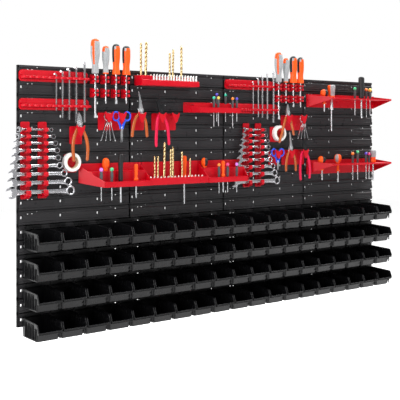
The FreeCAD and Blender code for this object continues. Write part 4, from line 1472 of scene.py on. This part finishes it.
def draw_key(sketch, head, foot, number):
    """A flat key seen from its edge: bow at the ring, toothed blade at its foot."""
    way = (foot - head).normalized()
    side = Vector((0, 1, 0))
    thin = way.cross(side).normalized()
    length = (foot - head).length
    half = [(-3.0, 2.0), (0.0, 5.6), (6.0, 8.0), (13.0, 7.4), (18.0, 3.4), (22.0, 3.0)]
    teeth = [(26.0 + 5 * n, 3.0 if n % 2 else 1.4 + 0.3 * number) for n in range(int((length - 34) // 5))]
    edge = half + teeth + [(length - 3, 3.0), (length, 0.6)]
    back = [(a, -2.9 if a > 20 else -b) for a, b in reversed(half)]
    outline = edge + [(length, -0.6), (length - 3, -2.9)] + back
    sections = []
    for offset in (-0.9, 0.9):
        sections.append([head + way * a + side * b * 0.95 + thin * offset for a, b in outline])
    sketch.loft(sections, soften=0.25)


KEY_FEET = {"key_bunch_left": (-26.0, -9.0, 8.0, 26.0), "key_bunch_right": (-26.0, -9.0, 9.0, 26.0)}
KEY_RING = 13.0
KEY_WIRE = 1.3


def make_keys():
    for node, spread in KEY_FEET.items():
        low, high = node_box(node)
        x = (low.x + high.x) / 2
        centre = Vector((x, (low.y + high.y) / 2, high.z - KEY_RING - KEY_WIRE))
        sketch = Sketch()
        for turn in (-0.55, 0.55):
            loop = []
            for n in range(40):
                angle = 2 * math.pi * n / 40
                way = Vector((math.cos(angle), 0, math.sin(angle)))
                loop.append(centre + way * KEY_RING + Vector((0, turn, 0)))
            sketch.tube(loop, 0.85, sides=8, loop=True)
        for number, foot in enumerate(spread):
            head = centre + Vector(((number - 1.5) * 3.4, 0, -KEY_RING + 3.0))
            end = Vector((x + foot, centre.y, low.z + 2.0))
            draw_key(sketch, head, end, number)
        make_piece(sketch, node + "_keys", node, [node], [STEEL])


# ---------------------------------------------------------------- stage, light and camera

FLOOR_HEIGHT = -0.95
FLOOR_HALF = 9.0
FLOOR_GLOW = 0.42
FRONT_GLOW = 0.26
CAMERA_PLACE = (-1.8529, -2.3348, 0.1945)
CAMERA_PITCH = 90.233
CAMERA_YAW = -37.923


def make_stage():
    mesh = bpy.data.meshes.new("floor")
    corners = [(a * FLOOR_HALF, b * FLOOR_HALF, FLOOR_HEIGHT)
               for a, b in ((-1, -1), (1, -1), (1, 1), (-1, 1))]
    mesh.from_pydata(corners, [], [(0, 1, 2, 3)])
    floor = bpy.data.objects.new("floor", mesh)
    bpy.context.scene.collection.objects.link(floor)
    pale = surface("pale_floor", "f6f6f6", rough=(0.8, 0.9), grain=40, bump=0.02, vary=0.01, specular=0.1)
    for node in pale.node_tree.nodes:
        if node.type == "BSDF_PRINCIPLED":
            node.inputs["Emission Color"].default_value = (1.0, 1.0, 1.0, 1.0)
            node.inputs["Emission Strength"].default_value = FLOOR_GLOW
    mesh.materials.append(pale)


def add_light(name, place, aim, size, power):
    data = bpy.data.lights.new(name, "AREA")
    data.shape = "RECTANGLE"
    data.size, data.size_y = size
    data.energy = power
    lamp = bpy.data.objects.new(name, data)
    lamp.location = place
    lamp.rotation_euler = (Vector(aim) - Vector(place)).to_track_quat("-Z", "Y").to_euler()
    bpy.context.scene.collection.objects.link(lamp)


def make_lights():
    world = bpy.data.worlds.new("white_studio")
    world.use_nodes = True
    tree = world.node_tree
    back = tree.nodes["Background"]
    back.inputs["Strength"].default_value = 1.0
    place = tree.nodes.new("ShaderNodeTexCoord")
    split = tree.nodes.new("ShaderNodeSeparateXYZ")
    tree.links.new(place.outputs["Generated"], split.inputs["Vector"])
    ramp = tree.nodes.new("ShaderNodeMapRange")
    ramp.interpolation_type = "SMOOTHSTEP"
    ramp.inputs["From Min"].default_value = -0.1
    ramp.inputs["From Max"].default_value = 0.3
    ramp.inputs["To Min"].default_value = FRONT_GLOW
    ramp.inputs["To Max"].default_value = 1.0
    tree.links.new(split.outputs["Y"], ramp.inputs["Value"])
    tree.links.new(ramp.outputs["Result"], back.inputs["Color"])
    bpy.context.scene.world = world
    add_light("left_softbox", (-2.0, -0.85, 0.7), (-0.1, 0, 0.05), (0.7, 1.6), 24.0)
    add_light("front_softbox", (0.4, -3.0, 1.4), (0.1, 0, 0.0), (0.9, 1.2), 12.0)
    add_light("overhead", (0.0, -0.75, 2.3), (0.0, 0, 0.0), (2.4, 0.5), 46.0)
    add_light("right_rim", (1.95, -0.12, 1.5), (0.6, 0, 0.0), (1.2, 0.9), 46.0)
    add_light("floor_wash", (0.4, 2.6, 2.6), (0.4, 1.4, FLOOR_HEIGHT), (4.0, 2.0), 110.0)


def make_camera():
    data = bpy.data.cameras.new("camera")
    data.sensor_width = 36.0
    data.lens = 75.62
    data.shift_x = -0.0346
    data.shift_y = -0.1822
    camera = bpy.data.objects.new("camera", data)
    camera.location = CAMERA_PLACE
    camera.rotation_euler = [math.radians(a) for a in (CAMERA_PITCH, 0, CAMERA_YAW)]
    bpy.context.scene.collection.objects.link(camera)
    bpy.context.scene.camera = camera
    bpy.context.scene.view_settings.view_transform = "Standard"


make_panels()
make_bins()
make_rails()
make_clips()
make_bit_holders()
make_bits()
make_drills()
make_step_shelves()
make_long_shelves()
make_racks()
make_hooks()
make_hex_keys()
make_screwdrivers()
make_precision_drivers()
make_stubby_drivers()
make_wrenches()
make_pliers()
make_scissors()
make_tapes()
make_keys()
make_stage()
make_lights()
make_camera()
